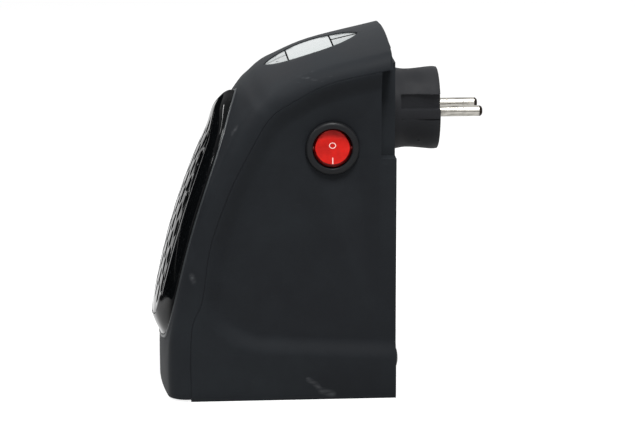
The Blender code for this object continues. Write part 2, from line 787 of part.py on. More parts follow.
def add_high_boss(bench, skin, cover, side):
    """A boss hung from the hood on a web."""
    x, z = side * SCREW_HIGH_X, SCREW_HIGH_Z
    end = BACK_INNER - HIGH_POST_LENGTH - GAP
    start = end - HIGH_BOSS_LENGTH
    boss = bench.rod(f"high_boss_{side}", BOSS_RADIUS, (x, start, z), (x, end, z))
    crown, middle, inward = skin.at(skin.length_at_depth(start))
    knee, _ = skin.knee(crown, SIDE, CORNER_RADIUS)
    roof = middle.z + inward.z * (crown * (x / knee) ** 2 + WALL / 2)
    web = bench.box(f"high_web_{side}", (x - BOSS_WEB / 2, start, z), (x + BOSS_WEB / 2, end, roof))
    ends = ((x, start + WALL, z), (x, end + CUT_OVERRUN, z))
    hole = bench.rod(f"high_boss_hole_{side}", SCREW_RADIUS + GAP, *ends)
    join(cover, web, boss)
    cut(cover, hole)


def make_rear_housing(bench, skin):
    housing = skin.form(bench, "rear_housing", 0.0, "body")
    keep_inside(housing, housing_region(bench))
    cavity = skin.form(bench, "housing_cavity", WALL)
    keep_inside(
        cavity,
        bench.box(
            "housing_room", (-WIDTH, FRONT - CUT_OVERRUN, FLOOR), (WIDTH, BACK_INNER, HEIGHT + CUT_OVERRUN)
        ),
    )
    for side, hand in ((-1, "left"), (1, "right")):
        cut(cavity, recess_block(bench, f"recess_{hand}_inside", side, WALL))
        cut(cavity, notch_block(bench, f"notch_{hand}_inside", side, WALL))
        cut(housing, recess_block(bench, f"recess_{hand}", side, 0.0))
        cut(housing, notch_block(bench, f"notch_{hand}", side, 0.0))
    cut(housing, cavity)
    for side in (-1, 1):
        add_posts(bench, housing, side)
        stem = (side * BUMPER_X, BACK_INNER - CUT_OVERRUN, BUMPER_Z)
        cut(housing, bench.rod(f"bumper_hole_{side}", BUMPER_STEM_RADIUS + GAP, stem, stem_end(side)))
    add_plug_seat(bench, housing)
    inner, outer = SIDE - RECESS_DEPTH - CUT_OVERRUN / 2, SIDE + CUT_OVERRUN
    ends = ((inner, SWITCH_Y, SWITCH_Z), (outer, SWITCH_Y, SWITCH_Z))
    cut(housing, bench.rod("switch_hole", SWITCH_BARREL_RADIUS + GAP, *ends, steps=ROUND_STEPS))
    cut(housing, intake_slots(bench))
    return housing


def stem_end(side):
    return (side * BUMPER_X, BACK + CUT_OVERRUN, BUMPER_Z)


def add_posts(bench, housing, side):
    """The low and the high screw post of one side, open to the back for the screwdriver."""
    posts = (
        ("low", SCREW_LOW_X, SCREW_LOW_Z, low_split() + GAP),
        ("high", SCREW_HIGH_X, SCREW_HIGH_Z, BACK_INNER - HIGH_POST_LENGTH),
    )
    for level, x, z, front in posts:
        x *= side
        post = bench.rod(f"{level}_post_{side}", BOSS_RADIUS, (x, front, z), (x, BACK_INNER + BACK_WALL / 2, z))
        seat = front + 2 * WALL
        ends = ((x, seat, z), (x, BACK + CUT_OVERRUN, z))
        well = bench.rod(f"{level}_well_{side}", SCREW_HEAD_RADIUS + GAP, *ends)
        ends = ((x, front - CUT_OVERRUN, z), (x, seat + WALL, z))
        hole = bench.rod(f"{level}_hole_{side}", SCREW_RADIUS + GAP, *ends)
        join(housing, post)
        cut(housing, well, hole)


def add_plug_seat(bench, housing):
    """The hole for the plug's neck and the two ribs that stop its lug."""
    neck = bench.rod(
        "neck_hole",
        PLUG_NECK_RADIUS + GAP,
        (0, BACK_INNER - CUT_OVERRUN, PLUG_HEIGHT),
        (0, BACK + CUT_OVERRUN, PLUG_HEIGHT),
        steps=ROUND_STEPS,
    )
    cut(housing, neck)
    reach = RETAINER_RADIUS + STOP_LUG_HEIGHT
    half_lug = math.asin(STOP_LUG_WIDTH / 2 / (RETAINER_RADIUS + GAP))
    top = PLUG_HEIGHT - (RETAINER_RADIUS + GAP) * math.sin(half_lug + STOP_SLACK)
    for side in (-1, 1):
        near, far = side * (RETAINER_RADIUS + 2 * GAP), side * reach
        low = (min(near, far), BACK_INNER - RETAINER_THICKNESS - GAP, top - 2 * STOP_LUG_WIDTH)
        high = (max(near, far), BACK_INNER + BACK_WALL / 2, top)
        join(housing, bench.box(f"plug_stop_{side}", low, high))


def intake_slots(bench):
    """Two columns of slots in the back wall with a rib between them, all in one cutter."""
    bm = bmesh.new()
    width = INTAKE_HALF_WIDTH - INTAKE_RIB / 2
    for row in range(INTAKE_ROWS):
        for side in (-1, 1):
            middle = (side * (INTAKE_RIB + width) / 2, BACK, INTAKE_BOTTOM + row * INTAKE_PITCH)
            size = (width, 2 * BACK_WALL + CUT_OVERRUN, INTAKE_SLOT_HEIGHT, 1.0)
            bmesh.ops.create_cube(bm, size=1.0, matrix=Matrix.Translation(middle) @ Matrix.Diagonal(size))
    return bench.shape("intake_slots", bm)


def make_bumpers(bench):
    for side, hand in ((-1, "left"), (1, "right")):
        dome = [(0.0, BUMPER_RISE)]
        for step in range(1, 4):
            angle = math.pi / 2 * step / 4
            dome.append((BUMPER_RADIUS * math.sin(angle), GAP + (BUMPER_RISE - GAP) * math.cos(angle)))
        dome += [
            (BUMPER_RADIUS, GAP),
            (BUMPER_STEM_RADIUS, GAP),
            (BUMPER_STEM_RADIUS, -BUMPER_STEM_LENGTH),
            (0.0, -BUMPER_STEM_LENGTH),
        ]
        place = facing_back(side * BUMPER_X, BACK, BUMPER_Z)
        bench.turned(f"wall_bumper_{hand}", dome, place, "rubber", SMALL_ROUND_STEPS)


def facing_back(x, y, z):
    """A frame whose local Z points along +Y."""
    return Matrix.Translation((x, y, z)) @ Matrix.Rotation(-math.pi / 2, 4, "X")


def facing_right(x, y, z):
    """A frame whose local Z points along +X."""
    return Matrix.Translation((x, y, z)) @ Matrix.Rotation(math.pi / 2, 4, "Y")


def make_screws(bench):
    rows = (
        ("low", SCREW_LOW_X, SCREW_LOW_Z, low_split() + GAP),
        ("high", SCREW_HIGH_X, SCREW_HIGH_Z, BACK_INNER - HIGH_POST_LENGTH),
    )
    profile = [
        (0.0, SCREW_HEAD_HEIGHT),
        (SCREW_HEAD_RADIUS * math.cos(math.pi / 4), SCREW_HEAD_HEIGHT),
        (SCREW_HEAD_RADIUS, SCREW_HEAD_HEIGHT / 2),
        (SCREW_HEAD_RADIUS, 0.0),
        (SCREW_RADIUS, 0.0),
        (SCREW_RADIUS, SCREW_RADIUS - SCREW_LENGTH),
        (0.0, -SCREW_LENGTH),
    ]
    for level, x, z, front in rows:
        seat = front + 2 * WALL + GAP
        for side, hand in ((-1, "left"), (1, "right")):
            place = facing_back(side * x, seat, z)
            bench.turned(f"case_screw_{level}_{hand}", profile, place, "steel", SMALL_ROUND_STEPS)


# Bezel and grille

def bezel_middle():
    return BEZEL_BOTTOM + BEZEL_LENGTH / 2


def bezel_outline():
    """The bezel's outline as (share of half width, share of half length), closed and anticlockwise."""
    half = smooth_path([Vector(point) for point in BEZEL_OUTLINE_SHARES], BEZEL_OUTLINE_STEPS)
    left = [Vector((-x, v)) for x, v in half]
    return [*left, *reversed(half[1:-1])]


def tilted_lift(lift, v):
    """A height above the front, made more towards the foot of the bezel. Heights below the gap stay."""
    return lift - max(lift - GAP, 0) * BEZEL_TILT_SHARE * v


def bezel_loop(skin, inset, lift, share=1.0):
    """The bezel's outline set in by a distance, laid on the front at a height above it."""
    half_length = BEZEL_LENGTH / 2
    loop = []
    for x, v in bezel_outline():
        across = x * (BEZEL_HALF_WIDTH - inset) * share
        along = bezel_middle() + v * (half_length - inset) * share
        loop.append(skin.point(across, along, tilted_lift(lift, v * share)))
    return loop


def make_bezel(bench, skin):
    """The rounded glossy ring, with a skirt into the opening and a ledge for the grille."""
    ledge = BEZEL_RISE - GRILLE_THICKNESS - GAP
    skirt = BEZEL_SKIRT_INSET + BEZEL_SKIRT_WALL
    rows = [(0.0, GAP)]
    rows += [(BEZEL_SHOULDER * inset, GAP + (BEZEL_RISE - GAP) * rise) for inset, rise in SHOULDER_SHARES]
    rows += [
        (BEZEL_SHOULDER, ledge),
        (BEZEL_SHOULDER + GRILLE_LEDGE, ledge),
        (BEZEL_SHOULDER + GRILLE_LEDGE, GAP),
        (skirt, GAP),
        (skirt, -BEZEL_SKIRT_DEPTH),
        (BEZEL_SKIRT_INSET, -BEZEL_SKIRT_DEPTH),
        (BEZEL_SKIRT_INSET, GAP),
    ]
    loops = [bezel_loop(skin, inset, lift) for inset, lift in rows]
    return bench.loft("grille_bezel", loops, "gloss", ring=True)


def make_grille(bench, skin):
    """The convex plate of the outlet, cut by staggered columns of long six-sided slots."""
    inset = BEZEL_SHOULDER + GAP
    top, bottom = [], []
    for share in GRILLE_RING_SHARES:
        lift = BEZEL_RISE + GRILLE_BULGE * (1 - share**2)
        top.append(bezel_loop(skin, inset, lift, share))
        bottom.append(bezel_loop(skin, inset, lift - GRILLE_THICKNESS, share))
    grille = bench.loft("front_grille", [*reversed(top), *bottom], "gloss")
    cut(grille, slot_cutter(bench, skin))
    return grille


def slot_places():
    """Middles of the slots as (x, length along the front), those that lie whole inside the grille's edge."""
    half_width = BEZEL_HALF_WIDTH - BEZEL_SHOULDER - GAP
    half_length = BEZEL_LENGTH / 2 - BEZEL_SHOULDER - GAP
    edge = [Vector((x * half_width, v * half_length)) for x, v in bezel_outline()]
    rows = math.ceil(half_length / SLOT_ROW_PITCH) + 1
    columns = math.ceil(half_width / SLOT_COLUMN_PITCH)
    places = []
    for column in range(-columns, columns):
        x = (column + 1 / 2) * SLOT_COLUMN_PITCH
        stagger = (column % 2) / 2
        for row in range(-rows, rows + 1):
            v = (row + stagger) * SLOT_ROW_PITCH
            corners = [Vector((x, v)) + corner for corner in slot_outline(SLOT_EDGE_MARGIN)]
            if all(inside(corner, edge) for corner in corners):
                places.append((x, v))
    return places


def slot_outline(grow):
    half_width, half_length = SLOT_WIDTH / 2 + grow, SLOT_LENGTH / 2 + grow
    shoulder = half_length - SLOT_TIP
    corners = ((0, half_length), (-half_width, shoulder), (-half_width, -shoulder))
    return [Vector(corner) for corner in corners] + [Vector((-x, -v)) for x, v in corners]


def inside(point, loop):
    """Whether a point lies inside a closed outline."""
    crossings = 0
    for first, second in zip(loop, [*loop[1:], loop[0]]):
        if (first.y > point.y) != (second.y > point.y):
            x = first.x + (point.y - first.y) / (second.y - first.y) * (second.x - first.x)
            crossings += point.x < x
    return crossings % 2 == 1


def slot_cutter(bench, skin):
    """All the slots as one mesh of six-sided prisms, each square to the plate where it is."""
    bm = bmesh.new()
    reach = GRILLE_THICKNESS + BEZEL_RISE
    for x, v in slot_places():
        along = bezel_middle() + v
        _, _, inward = skin.at(along)
        lift = tilted_lift(BEZEL_RISE, v / (BEZEL_LENGTH / 2)) - GRILLE_THICKNESS / 2
        middle = skin.point(x, along, lift)
        up = Vector((0, -inward.z, inward.y))
        rings = []
        for out in (reach / 2, -reach / 2):
            ring = [
                bm.verts.new(middle + Vector((corner.x, 0, 0)) + up * corner.y - inward * out)
                for corner in slot_outline(0.0)
            ]
            rings.append(ring)
        bm.faces.new(rings[0])
        bm.faces.new(rings[1][::-1])
        for i in range(len(rings[0])):
            j = (i + 1) % len(rings[0])
            bm.faces.new((rings[0][j], rings[0][i], rings[1][i], rings[1][j]))
    bmesh.ops.recalc_face_normals(bm, faces=bm.faces)
    return bench.shape("grille_slots", bm)


# Key panel

def panel_frame(skin):
    """The panel's own axes: across, along the hood towards the back, and up out of the hood."""
    y = FRONT + PANEL_MIDDLE_SHARE * DEPTH
    _, middle, inward = skin.at(skin.length_at_depth(y))
    along = Vector((0, -inward.z, inward.y))
    up = -inward
    axes = Matrix((Vector((1, 0, 0)), along, up)).transposed().to_4x4()
    return Matrix.Translation(middle) @ axes


def panel_prism(bench, skin, name, outline, low, high, finish_name=None):
    return bench.flat(name, outline, low, high, panel_frame(skin), finish_name)


def panel_outline(inset, divider=None, split=None):
    """The lens shape set in by a distance; past a divider it is one key, of the left or the right half."""
    half_length, half_width = PANEL_HALF_LENGTH - inset, PANEL_HALF_WIDTH - inset
    radius = (half_length**2 + half_width**2) / (2 * half_width)
    reach = math.asin(half_length / radius)
    start = -reach if divider is None else math.asin(divider / radius)
    arc = []
    for step in range(PANEL_ARC_POINTS + 1):
        angle = start + (reach - start) * step / PANEL_ARC_POINTS
        arc.append(Vector((radius * (math.cos(angle) - 1) + half_width, radius * math.sin(angle))))
    if split is None:
        return [*arc[:-1], *[Vector((-x, -v)) for x, v in arc[:-1]]]
    arc = [point for point in arc if point.x > split]
    last = math.sqrt(radius**2 - (radius - half_width + split) ** 2)
    return [Vector((split, divider)), *arc, Vector((split, last))]


def window_outline():
    """The middle of the lens between the two dividers."""
    inset = PANEL_EDGE_GAP
    divider = PANEL_HALF_LENGTH * KEY_DIVIDER_SHARE - KEY_GAP / 2
    half_length, half_width = PANEL_HALF_LENGTH - inset, PANEL_HALF_WIDTH - inset
    radius = (half_length**2 + half_width**2) / (2 * half_width)
    reach = math.asin(divider / radius)
    arc = []
    for step in range(PANEL_ARC_POINTS + 1):
        angle = reach * (2 * step / PANEL_ARC_POINTS - 1)
        arc.append(Vector((radius * (math.cos(angle) - 1) + half_width, radius * math.sin(angle))))
    return [*arc, *[Vector((-x, -v)) for x, v in arc]]


def key_stem_place():
    """Middle of the right rear key's stem, across and along the panel."""
    across, along = KEY_STEM_PLACE_SHARES
    return across * PANEL_HALF_WIDTH, along * PANEL_HALF_LENGTH


def make_key_panel(bench, skin):
    """The tray, the window and the four keys, all cut from layers of the hood's own surface."""
    proud = skin.form(bench, "hood_skin_proud", -KEY_PROUD)
    under_keys = skin.form(bench, "hood_skin_under_keys", KEY_THICKNESS)
    under_window = skin.form(bench, "hood_skin_under_window", WINDOW_THICKNESS)
    tray_top = skin.form(bench, "hood_skin_tray_top", WALL + GAP)
    tray_bottom = skin.form(bench, "hood_skin_tray_bottom", WALL + GAP + TRAY_THICKNESS)
    window = panel_prism(bench, skin, "display_window", window_outline(), -CUT_OVERRUN, CUT_OVERRUN / 2, "keys")
    keep_inside(window, proud)
    cut(window, under_window)
    tray_outline = panel_outline(-TRAY_FLANGE)
    tray = panel_prism(bench, skin, "key_tray", tray_outline, -CUT_OVERRUN, CUT_OVERRUN / 2, "black")
    keep_inside(tray, tray_top)
    cut(tray, tray_bottom)
    frame = panel_frame(skin)
    board_top = -DISPLAY_BOARD_DEPTH
    stem_low = board_top + GAP + TACT_HEIGHT + TACT_PLUNGER_HEIGHT + KEY_TRAVEL + GAP
    across, along = key_stem_place()
    for side in (-1, 1):
        x = side * (PANEL_HALF_WIDTH - TRAY_POST_RADIUS)
        top = -(WALL + GAP + TRAY_THICKNESS / 2 + skin_drop(skin, x))
        ends = [frame @ Vector((x, 0, height)) for height in (board_top + GAP, top)]
        join(tray, bench.rod(f"tray_post_{side}", TRAY_POST_RADIUS, *ends))
    width, length = DISPLAY_SIZE
    hole_half = (width / 2 + GAP, length / 2 + GAP)
    hole = bench.box(
        "display_hole",
        (-hole_half[0], -hole_half[1], -DISPLAY_BOARD_DEPTH),
        (hole_half[0], hole_half[1], CUT_OVERRUN / 2),
        place=frame,
    )
    cut(tray, hole)
    keys = {}
    ends = (("front", -1), ("rear", 1))
    hands = (("left", -1), ("right", 1))
    for end, back in ends:
        for hand, side in hands:
            key = make_key(bench, skin, f"key_{end}_{hand}", back, side, proud, under_keys)
            place = Vector((side * across, back * along, 0))
            axis = [frame @ (place + Vector((0, 0, height))) for height in (stem_low, -KEY_THICKNESS)]
            join(key, bench.rod(f"stem_{end}_{hand}", KEY_STEM_RADIUS, *axis))
            keys[key.name] = key
            shaft = [frame @ (place + Vector((0, 0, height))) for height in (-DISPLAY_BOARD_DEPTH, 0)]
            cut(tray, bench.rod(f"stem_hole_{end}_{hand}", KEY_STEM_RADIUS + GAP, *shaft))
            make_tact_switch(bench, frame, f"tact_switch_{end}_{hand}", place)
    make_display(bench, frame)
    return keys


def skin_drop(skin, x):
    """Drop of the crowned hood at x, at the middle of the panel."""
    crown, _, _ = skin.at(skin.length_at_depth(FRONT + PANEL_MIDDLE_SHARE * DEPTH))
    knee, _ = skin.knee(crown, SIDE, CORNER_RADIUS)
    return crown * (x / knee) ** 2


def make_key(bench, skin, name, back, side, proud, under):
    """One quarter of the panel's ends, with its origin on the line that it is pressed along."""
    divider = PANEL_HALF_LENGTH * KEY_DIVIDER_SHARE + KEY_GAP / 2
    split = REAR_SPLIT if back > 0 else FRONT_SPLIT
    outline = [Vector((side * x, back * v)) for x, v in panel_outline(PANEL_EDGE_GAP, divider, split / 2)]
    across, along = key_stem_place()
    origin = Vector((side * across, back * along))
    local = [point - origin for point in outline]
    frame = panel_frame(skin) @ Matrix.Translation((*origin, 0))
    key = bench.flat(name, local, -CUT_OVERRUN / 2, CUT_OVERRUN / 2, frame, "keys")
    keep_inside(key, proud)
    cut(key, under)
    return key


def make_tact_switch(bench, frame, name, place):
    half = TACT_SIZE / 2
    low = -DISPLAY_BOARD_DEPTH + GAP
    top = low + TACT_HEIGHT
    corners = (place + Vector((-half, -half, low)), place + Vector((half, half, top)))
    switch = bench.box(name, *corners, "black", frame)
    levels = (low + TACT_HEIGHT / 2, top + TACT_PLUNGER_HEIGHT)
    ends = [frame @ (place + Vector((0, 0, height))) for height in levels]
    join(switch, bench.rod(f"{name}_plunger", TACT_PLUNGER_RADIUS, *ends))


def make_display(bench, frame):
    """The board under the tray and the display block that reaches up to the window."""
    width, length = DISPLAY_SIZE
    top = -(WINDOW_THICKNESS + 2 * GAP)
    low = -DISPLAY_BOARD_DEPTH + GAP
    bench.box(
        "display_module",
        (-width / 2, -length / 2, low),
        (width / 2, length / 2, top - skin_drop_allowance()),
        "white",
        frame,
    )
    board = bench.box(
        "display_board",
        (-PANEL_HALF_WIDTH, -PANEL_HALF_LENGTH, -DISPLAY_BOARD_DEPTH - BOARD_THICKNESS),
        (PANEL_HALF_WIDTH, PANEL_HALF_LENGTH, -DISPLAY_BOARD_DEPTH),
        "board",
        frame,
    )
    return board


def skin_drop_allowance():
    """How far the window's underside dips at the display's corners."""
    return DISPLAY_SIZE[0] / 2 * CROWN_DIP_SHARE


# Rocker switch

def make_switch(bench):
    """The switch body with its ring, the rocker on its pins and the two tabs."""
    face = SIDE - RECESS_DEPTH
    frame = facing_right(face, SWITCH_Y, SWITCH_Z)
    bore = ROCKER_RADIUS + GAP
    pit = -(ROCKER_RADIUS + GAP)
    ring = SWITCH_RING_HEIGHT
    profile = [
        (0.0, pit - SWITCH_FLOOR),
        (bore, pit - SWITCH_FLOOR),
        (bore, ring),
        (bore + (SWITCH_RING_RADIUS - bore) / 3, GAP + ring),
        (SWITCH_RING_RADIUS - ring / 2, GAP + ring),
        (SWITCH_RING_RADIUS - ring / 6, GAP + ring * 2 / 3),
        (SWITCH_RING_RADIUS, GAP),
        (SWITCH_BARREL_RADIUS, GAP),
        (SWITCH_BARREL_RADIUS, -SWITCH_BARREL_LENGTH),
        (0.0, -SWITCH_BARREL_LENGTH),
    ]
    body = bench.turned("switch_body", profile, frame, "black")
    pin_reach = ROCKER_RADIUS + ROCKER_PIN_LENGTH + GAP
    pivot = Vector((face + rocker_pivot_height(), SWITCH_Y, SWITCH_Z))
    hole = bench.rod(
        "rocker_pin_holes",
        ROCKER_PIN_RADIUS + GAP,
        pivot - Vector((0, pin_reach, 0)),
        pivot + Vector((0, pin_reach, 0)),
    )
    cut(body, hole)
    rocker = make_rocker(bench, pivot)
    for side, level in ((-1, "low"), (1, "high")):
        z = SWITCH_Z + side * TERMINAL_SPACING / 2
        end = face - SWITCH_BARREL_LENGTH - GAP
        bench.box(
            f"switch_tab_{level}",
            (end - TERMINAL_LENGTH, SWITCH_Y - TERMINAL_WIDTH / 2, z - TERMINAL_THICKNESS / 2),
            (end, SWITCH_Y + TERMINAL_WIDTH / 2, z + TERMINAL_THICKNESS / 2),
            "brass",
        )
    return rocker


def rocker_pivot_height():
    """The rocker's pivot above the sunk face."""
    return -GAP


def make_rocker(bench, pivot):
    """A ball with a shallow V across its face, on two pins, shown with its upper end pressed in."""
    bm = bmesh.new()
    bmesh.ops.create_uvsphere(bm, u_segments=ROUND_STEPS, v_segments=SMALL_ROUND_STEPS, radius=ROCKER_RADIUS)
    tilt = Matrix.Rotation(-ROCKER_SWING / 2, 4, "Y")
    place = Matrix.Translation(pivot) @ tilt @ Matrix.Rotation(math.pi / 2, 4, "Y")
    rocker = bench.shape("rocker", bm, "red", place)
    reach = 2 * ROCKER_RADIUS
    slope = math.tan(ROCKER_V) * reach
    outline = [
        Vector((-ROCKER_DEPTH, -reach)),
        Vector((ROCKER_CENTRE_HEIGHT + slope, -reach)),
        Vector((ROCKER_CENTRE_HEIGHT, 0)),
        Vector((ROCKER_CENTRE_HEIGHT + slope, reach)),
        Vector((-ROCKER_DEPTH, reach)),
    ]
    lengthways = Matrix(((1, 0, 0, 0), (0, 0, -1, 0), (0, 1, 0, 0), (0, 0, 0, 1)))
    frame = Matrix.Translation(pivot) @ tilt @ lengthways
    keep_inside(rocker, bench.flat("rocker_faces", outline, -reach, reach, frame))
    pin = Vector((0, ROCKER_RADIUS + ROCKER_PIN_LENGTH, 0))
    join(rocker, bench.rod("rocker_pins", ROCKER_PIN_RADIUS, pivot - pin, pivot + pin))
    return rocker


# Mains plug

def make_plug(bench):
    """The plug body with its neck through the back wall, its pins, the ring that holds it and the wipers."""
    root = BACK + GAP
    frame = facing_back(0, root, PLUG_HEIGHT)
    profile = [(0.0, PLUG_LENGTH)]
    profile += [(PLUG_RADIUS * radius, PLUG_LENGTH * length) for length, radius in PLUG_OUTLINE_SHARES]
    profile += [
        (PLUG_NECK_RADIUS, 0.0),
        (PLUG_NECK_RADIUS, -PLUG_NECK_DEPTH - GAP),
        (0.0, -PLUG_NECK_DEPTH - GAP),
    ]
    body = bench.turned("plug_body", profile, frame, "black", ROUND_STEPS + SMALL_ROUND_STEPS // 2)
    end = root + PLUG_LENGTH
    pocket_start = end - PLUG_LENGTH * PLUG_POCKET_LENGTH_SHARE
    for side, hand in ((-1, "left"), (1, "right")):
        z = PLUG_HEIGHT + side * PLUG_POCKET_OFFSET
        near, far = side * (PLUG_RADIUS - PLUG_POCKET_DEPTH), side * (PLUG_RADIUS + CUT_OVERRUN)
        low = (min(near, far), pocket_start, z - PLUG_POCKET_WIDTH / 2)
        high = (max(near, far), end + CUT_OVERRUN, z + PLUG_POCKET_WIDTH / 2)
        cut(body, bench.box(f"plug_pocket_{hand}", low, high))
        z = PLUG_HEIGHT - side * PLUG_GROOVE_OFFSET
        near = side * (PLUG_RADIUS - 2 * PLUG_GROOVE_DEPTH)
        low = (min(near, far), pocket_start, z - PLUG_GROOVE_WIDTH / 2)
        high = (max(near, far), end + CUT_OVERRUN, z + PLUG_GROOVE_WIDTH / 2)
        cut(body, bench.box(f"plug_groove_{hand}", low, high))
    inner = BACK - PLUG_NECK_DEPTH - GAP
    pieces = [body]
    for side, hand in ((-1, "left"), (1, "right")):
        x = side * PIN_SPACING / 2
        ends = ((x, inner - CUT_OVERRUN, PLUG_HEIGHT), (x, end + CUT_OVERRUN, PLUG_HEIGHT))
        cut(body, bench.rod(f"pin_hole_{hand}", PIN_RADIUS + GAP, *ends))
        length = PIN_LENGTH + end - inner
        tip = PIN_RADIUS * PIN_TIP_SHARE
        outline = [
            (0.0, length),
            (PIN_RADIUS - tip, length),
            (PIN_RADIUS - tip * (1 - math.sin(math.pi / 4)), length - tip * (1 - math.cos(math.pi / 4))),
            (PIN_RADIUS, length - tip),
            (PIN_RADIUS, 0.0),
            (0.0, 0.0),
        ]
        pin_frame = facing_back(x, inner, PLUG_HEIGHT)
        pieces.append(bench.turned(f"plug_pin_{hand}", outline, pin_frame, "nickel", SMALL_ROUND_STEPS + 2))
    pieces.append(make_retainer(bench))
    pieces += make_wipers(bench, inner)
    return pieces


def make_retainer(bench):
    """The ring inside the back wall, with the lug that meets the stop ribs after a quarter turn each way."""
    face = BACK_INNER - GAP
    half = RETAINER_THICKNESS
    bore = PLUG_NECK_RADIUS + GAP
    ring = bench.turned(
        "plug_retainer",
        [(bore, 0.0), (RETAINER_RADIUS, 0.0), (RETAINER_RADIUS, -half), (bore, -half)],
        facing_back(0, face, PLUG_HEIGHT),
        "white",
        closed=True,
    )
    lug = bench.box(
        "stop_lug",
        (-STOP_LUG_WIDTH / 2, face - half, PLUG_HEIGHT + RETAINER_RADIUS - STOP_LUG_HEIGHT / 2),
        (STOP_LUG_WIDTH / 2, face, PLUG_HEIGHT + RETAINER_RADIUS + STOP_LUG_HEIGHT / 2),
    )
    join(ring, lug)
    return ring


def make_wipers(bench, inner):
    """Spring strips from the pins to the inner and the outer slip ring."""
    wipers = []
    for (near, far), side, name in zip(SLIP_RING_RADII, (-1, 1), ("wiper_inner", "wiper_outer")):
        middle = side * (near + far) / 2
        pin = side * PIN_SPACING / 2
        low = (min(middle, pin) - PIN_RADIUS / 2, inner - GAP - WIPER_THICKNESS, PLUG_HEIGHT - WIPER_WIDTH / 2)
        high = (max(middle, pin) + PIN_RADIUS / 2, inner - GAP, PLUG_HEIGHT + WIPER_WIDTH / 2)
        wipers.append(bench.box(name, low, high, "brass"))
    return wipers


def make_contacts(bench):
    """The fixed block behind the plug with its two slip rings, on feet against the back wall."""
    inner = BACK - PLUG_NECK_DEPTH - GAP
    ring_face = inner - GAP - WIPER_THICKNESS - GAP
    for (near, far), name in zip(SLIP_RING_RADII, ("slip_ring_inner", "slip_ring_outer")):
        profile = [(near, 0.0), (far, 0.0), (far, -SLIP_RING_THICKNESS), (near, -SLIP_RING_THICKNESS)]
        bench.turned(name, profile, facing_back(0, ring_face, PLUG_HEIGHT), "brass", closed=True)
    width, depth, height = CONTACT_BLOCK_SIZE
    face = ring_face - SLIP_RING_THICKNESS - GAP
    block = bench.box(
        "contact_block",
        (-width / 2, face - depth, PLUG_HEIGHT - height / 2),
        (width / 2, face, PLUG_HEIGHT + height / 2),
        "white",
    )
    for side in (-1, 1):
        outer = side * width / 2
        near = outer - side * CONTACT_FOOT_WIDTH
        low = (min(outer, near), face - depth, PLUG_HEIGHT - height / 2)
        high = (max(outer, near), BACK_INNER - GAP, PLUG_HEIGHT - height / 2 + CONTACT_FOOT_WIDTH)
        join(block, bench.box(f"contact_foot_low_{side}", low, high))
    return block


# Fan

def duct_front():
    return FRONT + DUCT_FRONT_SHARE * DEPTH


def duct_half():
    """Half the outer width of the square duct."""
    return FAN_RADIUS + FAN_TIP_GAP + DUCT_WALL + WALL


def fan_front():
    return duct_front() + FAN_FRONT_OFFSET


def motor_front():
    return fan_front() + IMPELLER_DEPTH + MOTOR_GAP


def make_duct(bench):
    """A square duct from the back wall to the heater, with a round throat for the fan and a motor spider."""
    half, front, back = duct_half(), duct_front(), BACK_INNER - GAP
    duct = bench.box("fan_duct", (-half, front, FAN_HEIGHT - half), (half, back, FAN_HEIGHT + half), "black")
    room = half - DUCT_WALL
    cut(
        duct,
        bench.box(
            "duct_room",
            (-room, front - CUT_OVERRUN, FAN_HEIGHT - room),
            (room, back + CUT_OVERRUN, FAN_HEIGHT + room),
        ),
    )
    bore = FAN_RADIUS + FAN_TIP_GAP
    lap = half - DUCT_WALL / 2
    plate_back = fan_front() + DUCT_WALL
    plate = bench.box(
        "throat_plate", (-lap, fan_front(), FAN_HEIGHT - lap), (lap, plate_back, FAN_HEIGHT + lap)
    )
    throat = bench.rod(
        "throat_wall",
        bore + DUCT_WALL,
        (0, fan_front() + DUCT_WALL / 2, FAN_HEIGHT),
        (0, fan_front() + IMPELLER_DEPTH, FAN_HEIGHT),
        steps=ROUND_STEPS,
    )
    hole = bench.rod(
        "throat_bore",
        bore,
        (0, fan_front() - DUCT_WALL, FAN_HEIGHT),
        (0, fan_front() + IMPELLER_DEPTH + MOTOR_GAP / 2, FAN_HEIGHT),
        steps=ROUND_STEPS,
    )
    join(duct, plate, throat)
    cut(duct, hole)
    collar_front = motor_front() + (MOTOR_LENGTH - SPIDER_COLLAR_LENGTH) / 2
    arm = SPIDER_ARM_WIDTH / 2
    for name, size in (("spider_across", (lap, arm)), ("spider_upright", (arm, lap))):
        low = (-size[0], collar_front, FAN_HEIGHT - size[1])
        high = (size[0], collar_front + SPIDER_ARM_DEPTH, FAN_HEIGHT + size[1])
        join(duct, bench.box(name, low, high))
    collar = bench.rod(
        "motor_collar",
        MOTOR_RADIUS + GAP + DUCT_WALL,
        (0, collar_front - GAP, FAN_HEIGHT),
        (0, collar_front + SPIDER_COLLAR_LENGTH, FAN_HEIGHT),
        steps=ROUND_STEPS,
    )
    seat = bench.rod(
        "motor_seat",
        MOTOR_RADIUS + GAP,
        (0, collar_front - CUT_OVERRUN / 2, FAN_HEIGHT),
        (0, collar_front + SPIDER_COLLAR_LENGTH + CUT_OVERRUN / 2, FAN_HEIGHT),
        steps=ROUND_STEPS,
    )
    join(duct, collar)
    cut(duct, seat)
    for side in (-1, 1):
        for end in (-1, 1):
            y = (front + back) / 2 + end * (back - front) / 4
            top = FAN_HEIGHT + half + MAIN_BOARD_CLEARANCE
            x = side * half / 2
            join(duct, bench.rod(f"board_post_{side}_{end}", DUCT_WALL, (x, y, FAN_HEIGHT + lap), (x, y, top)))
    return duct


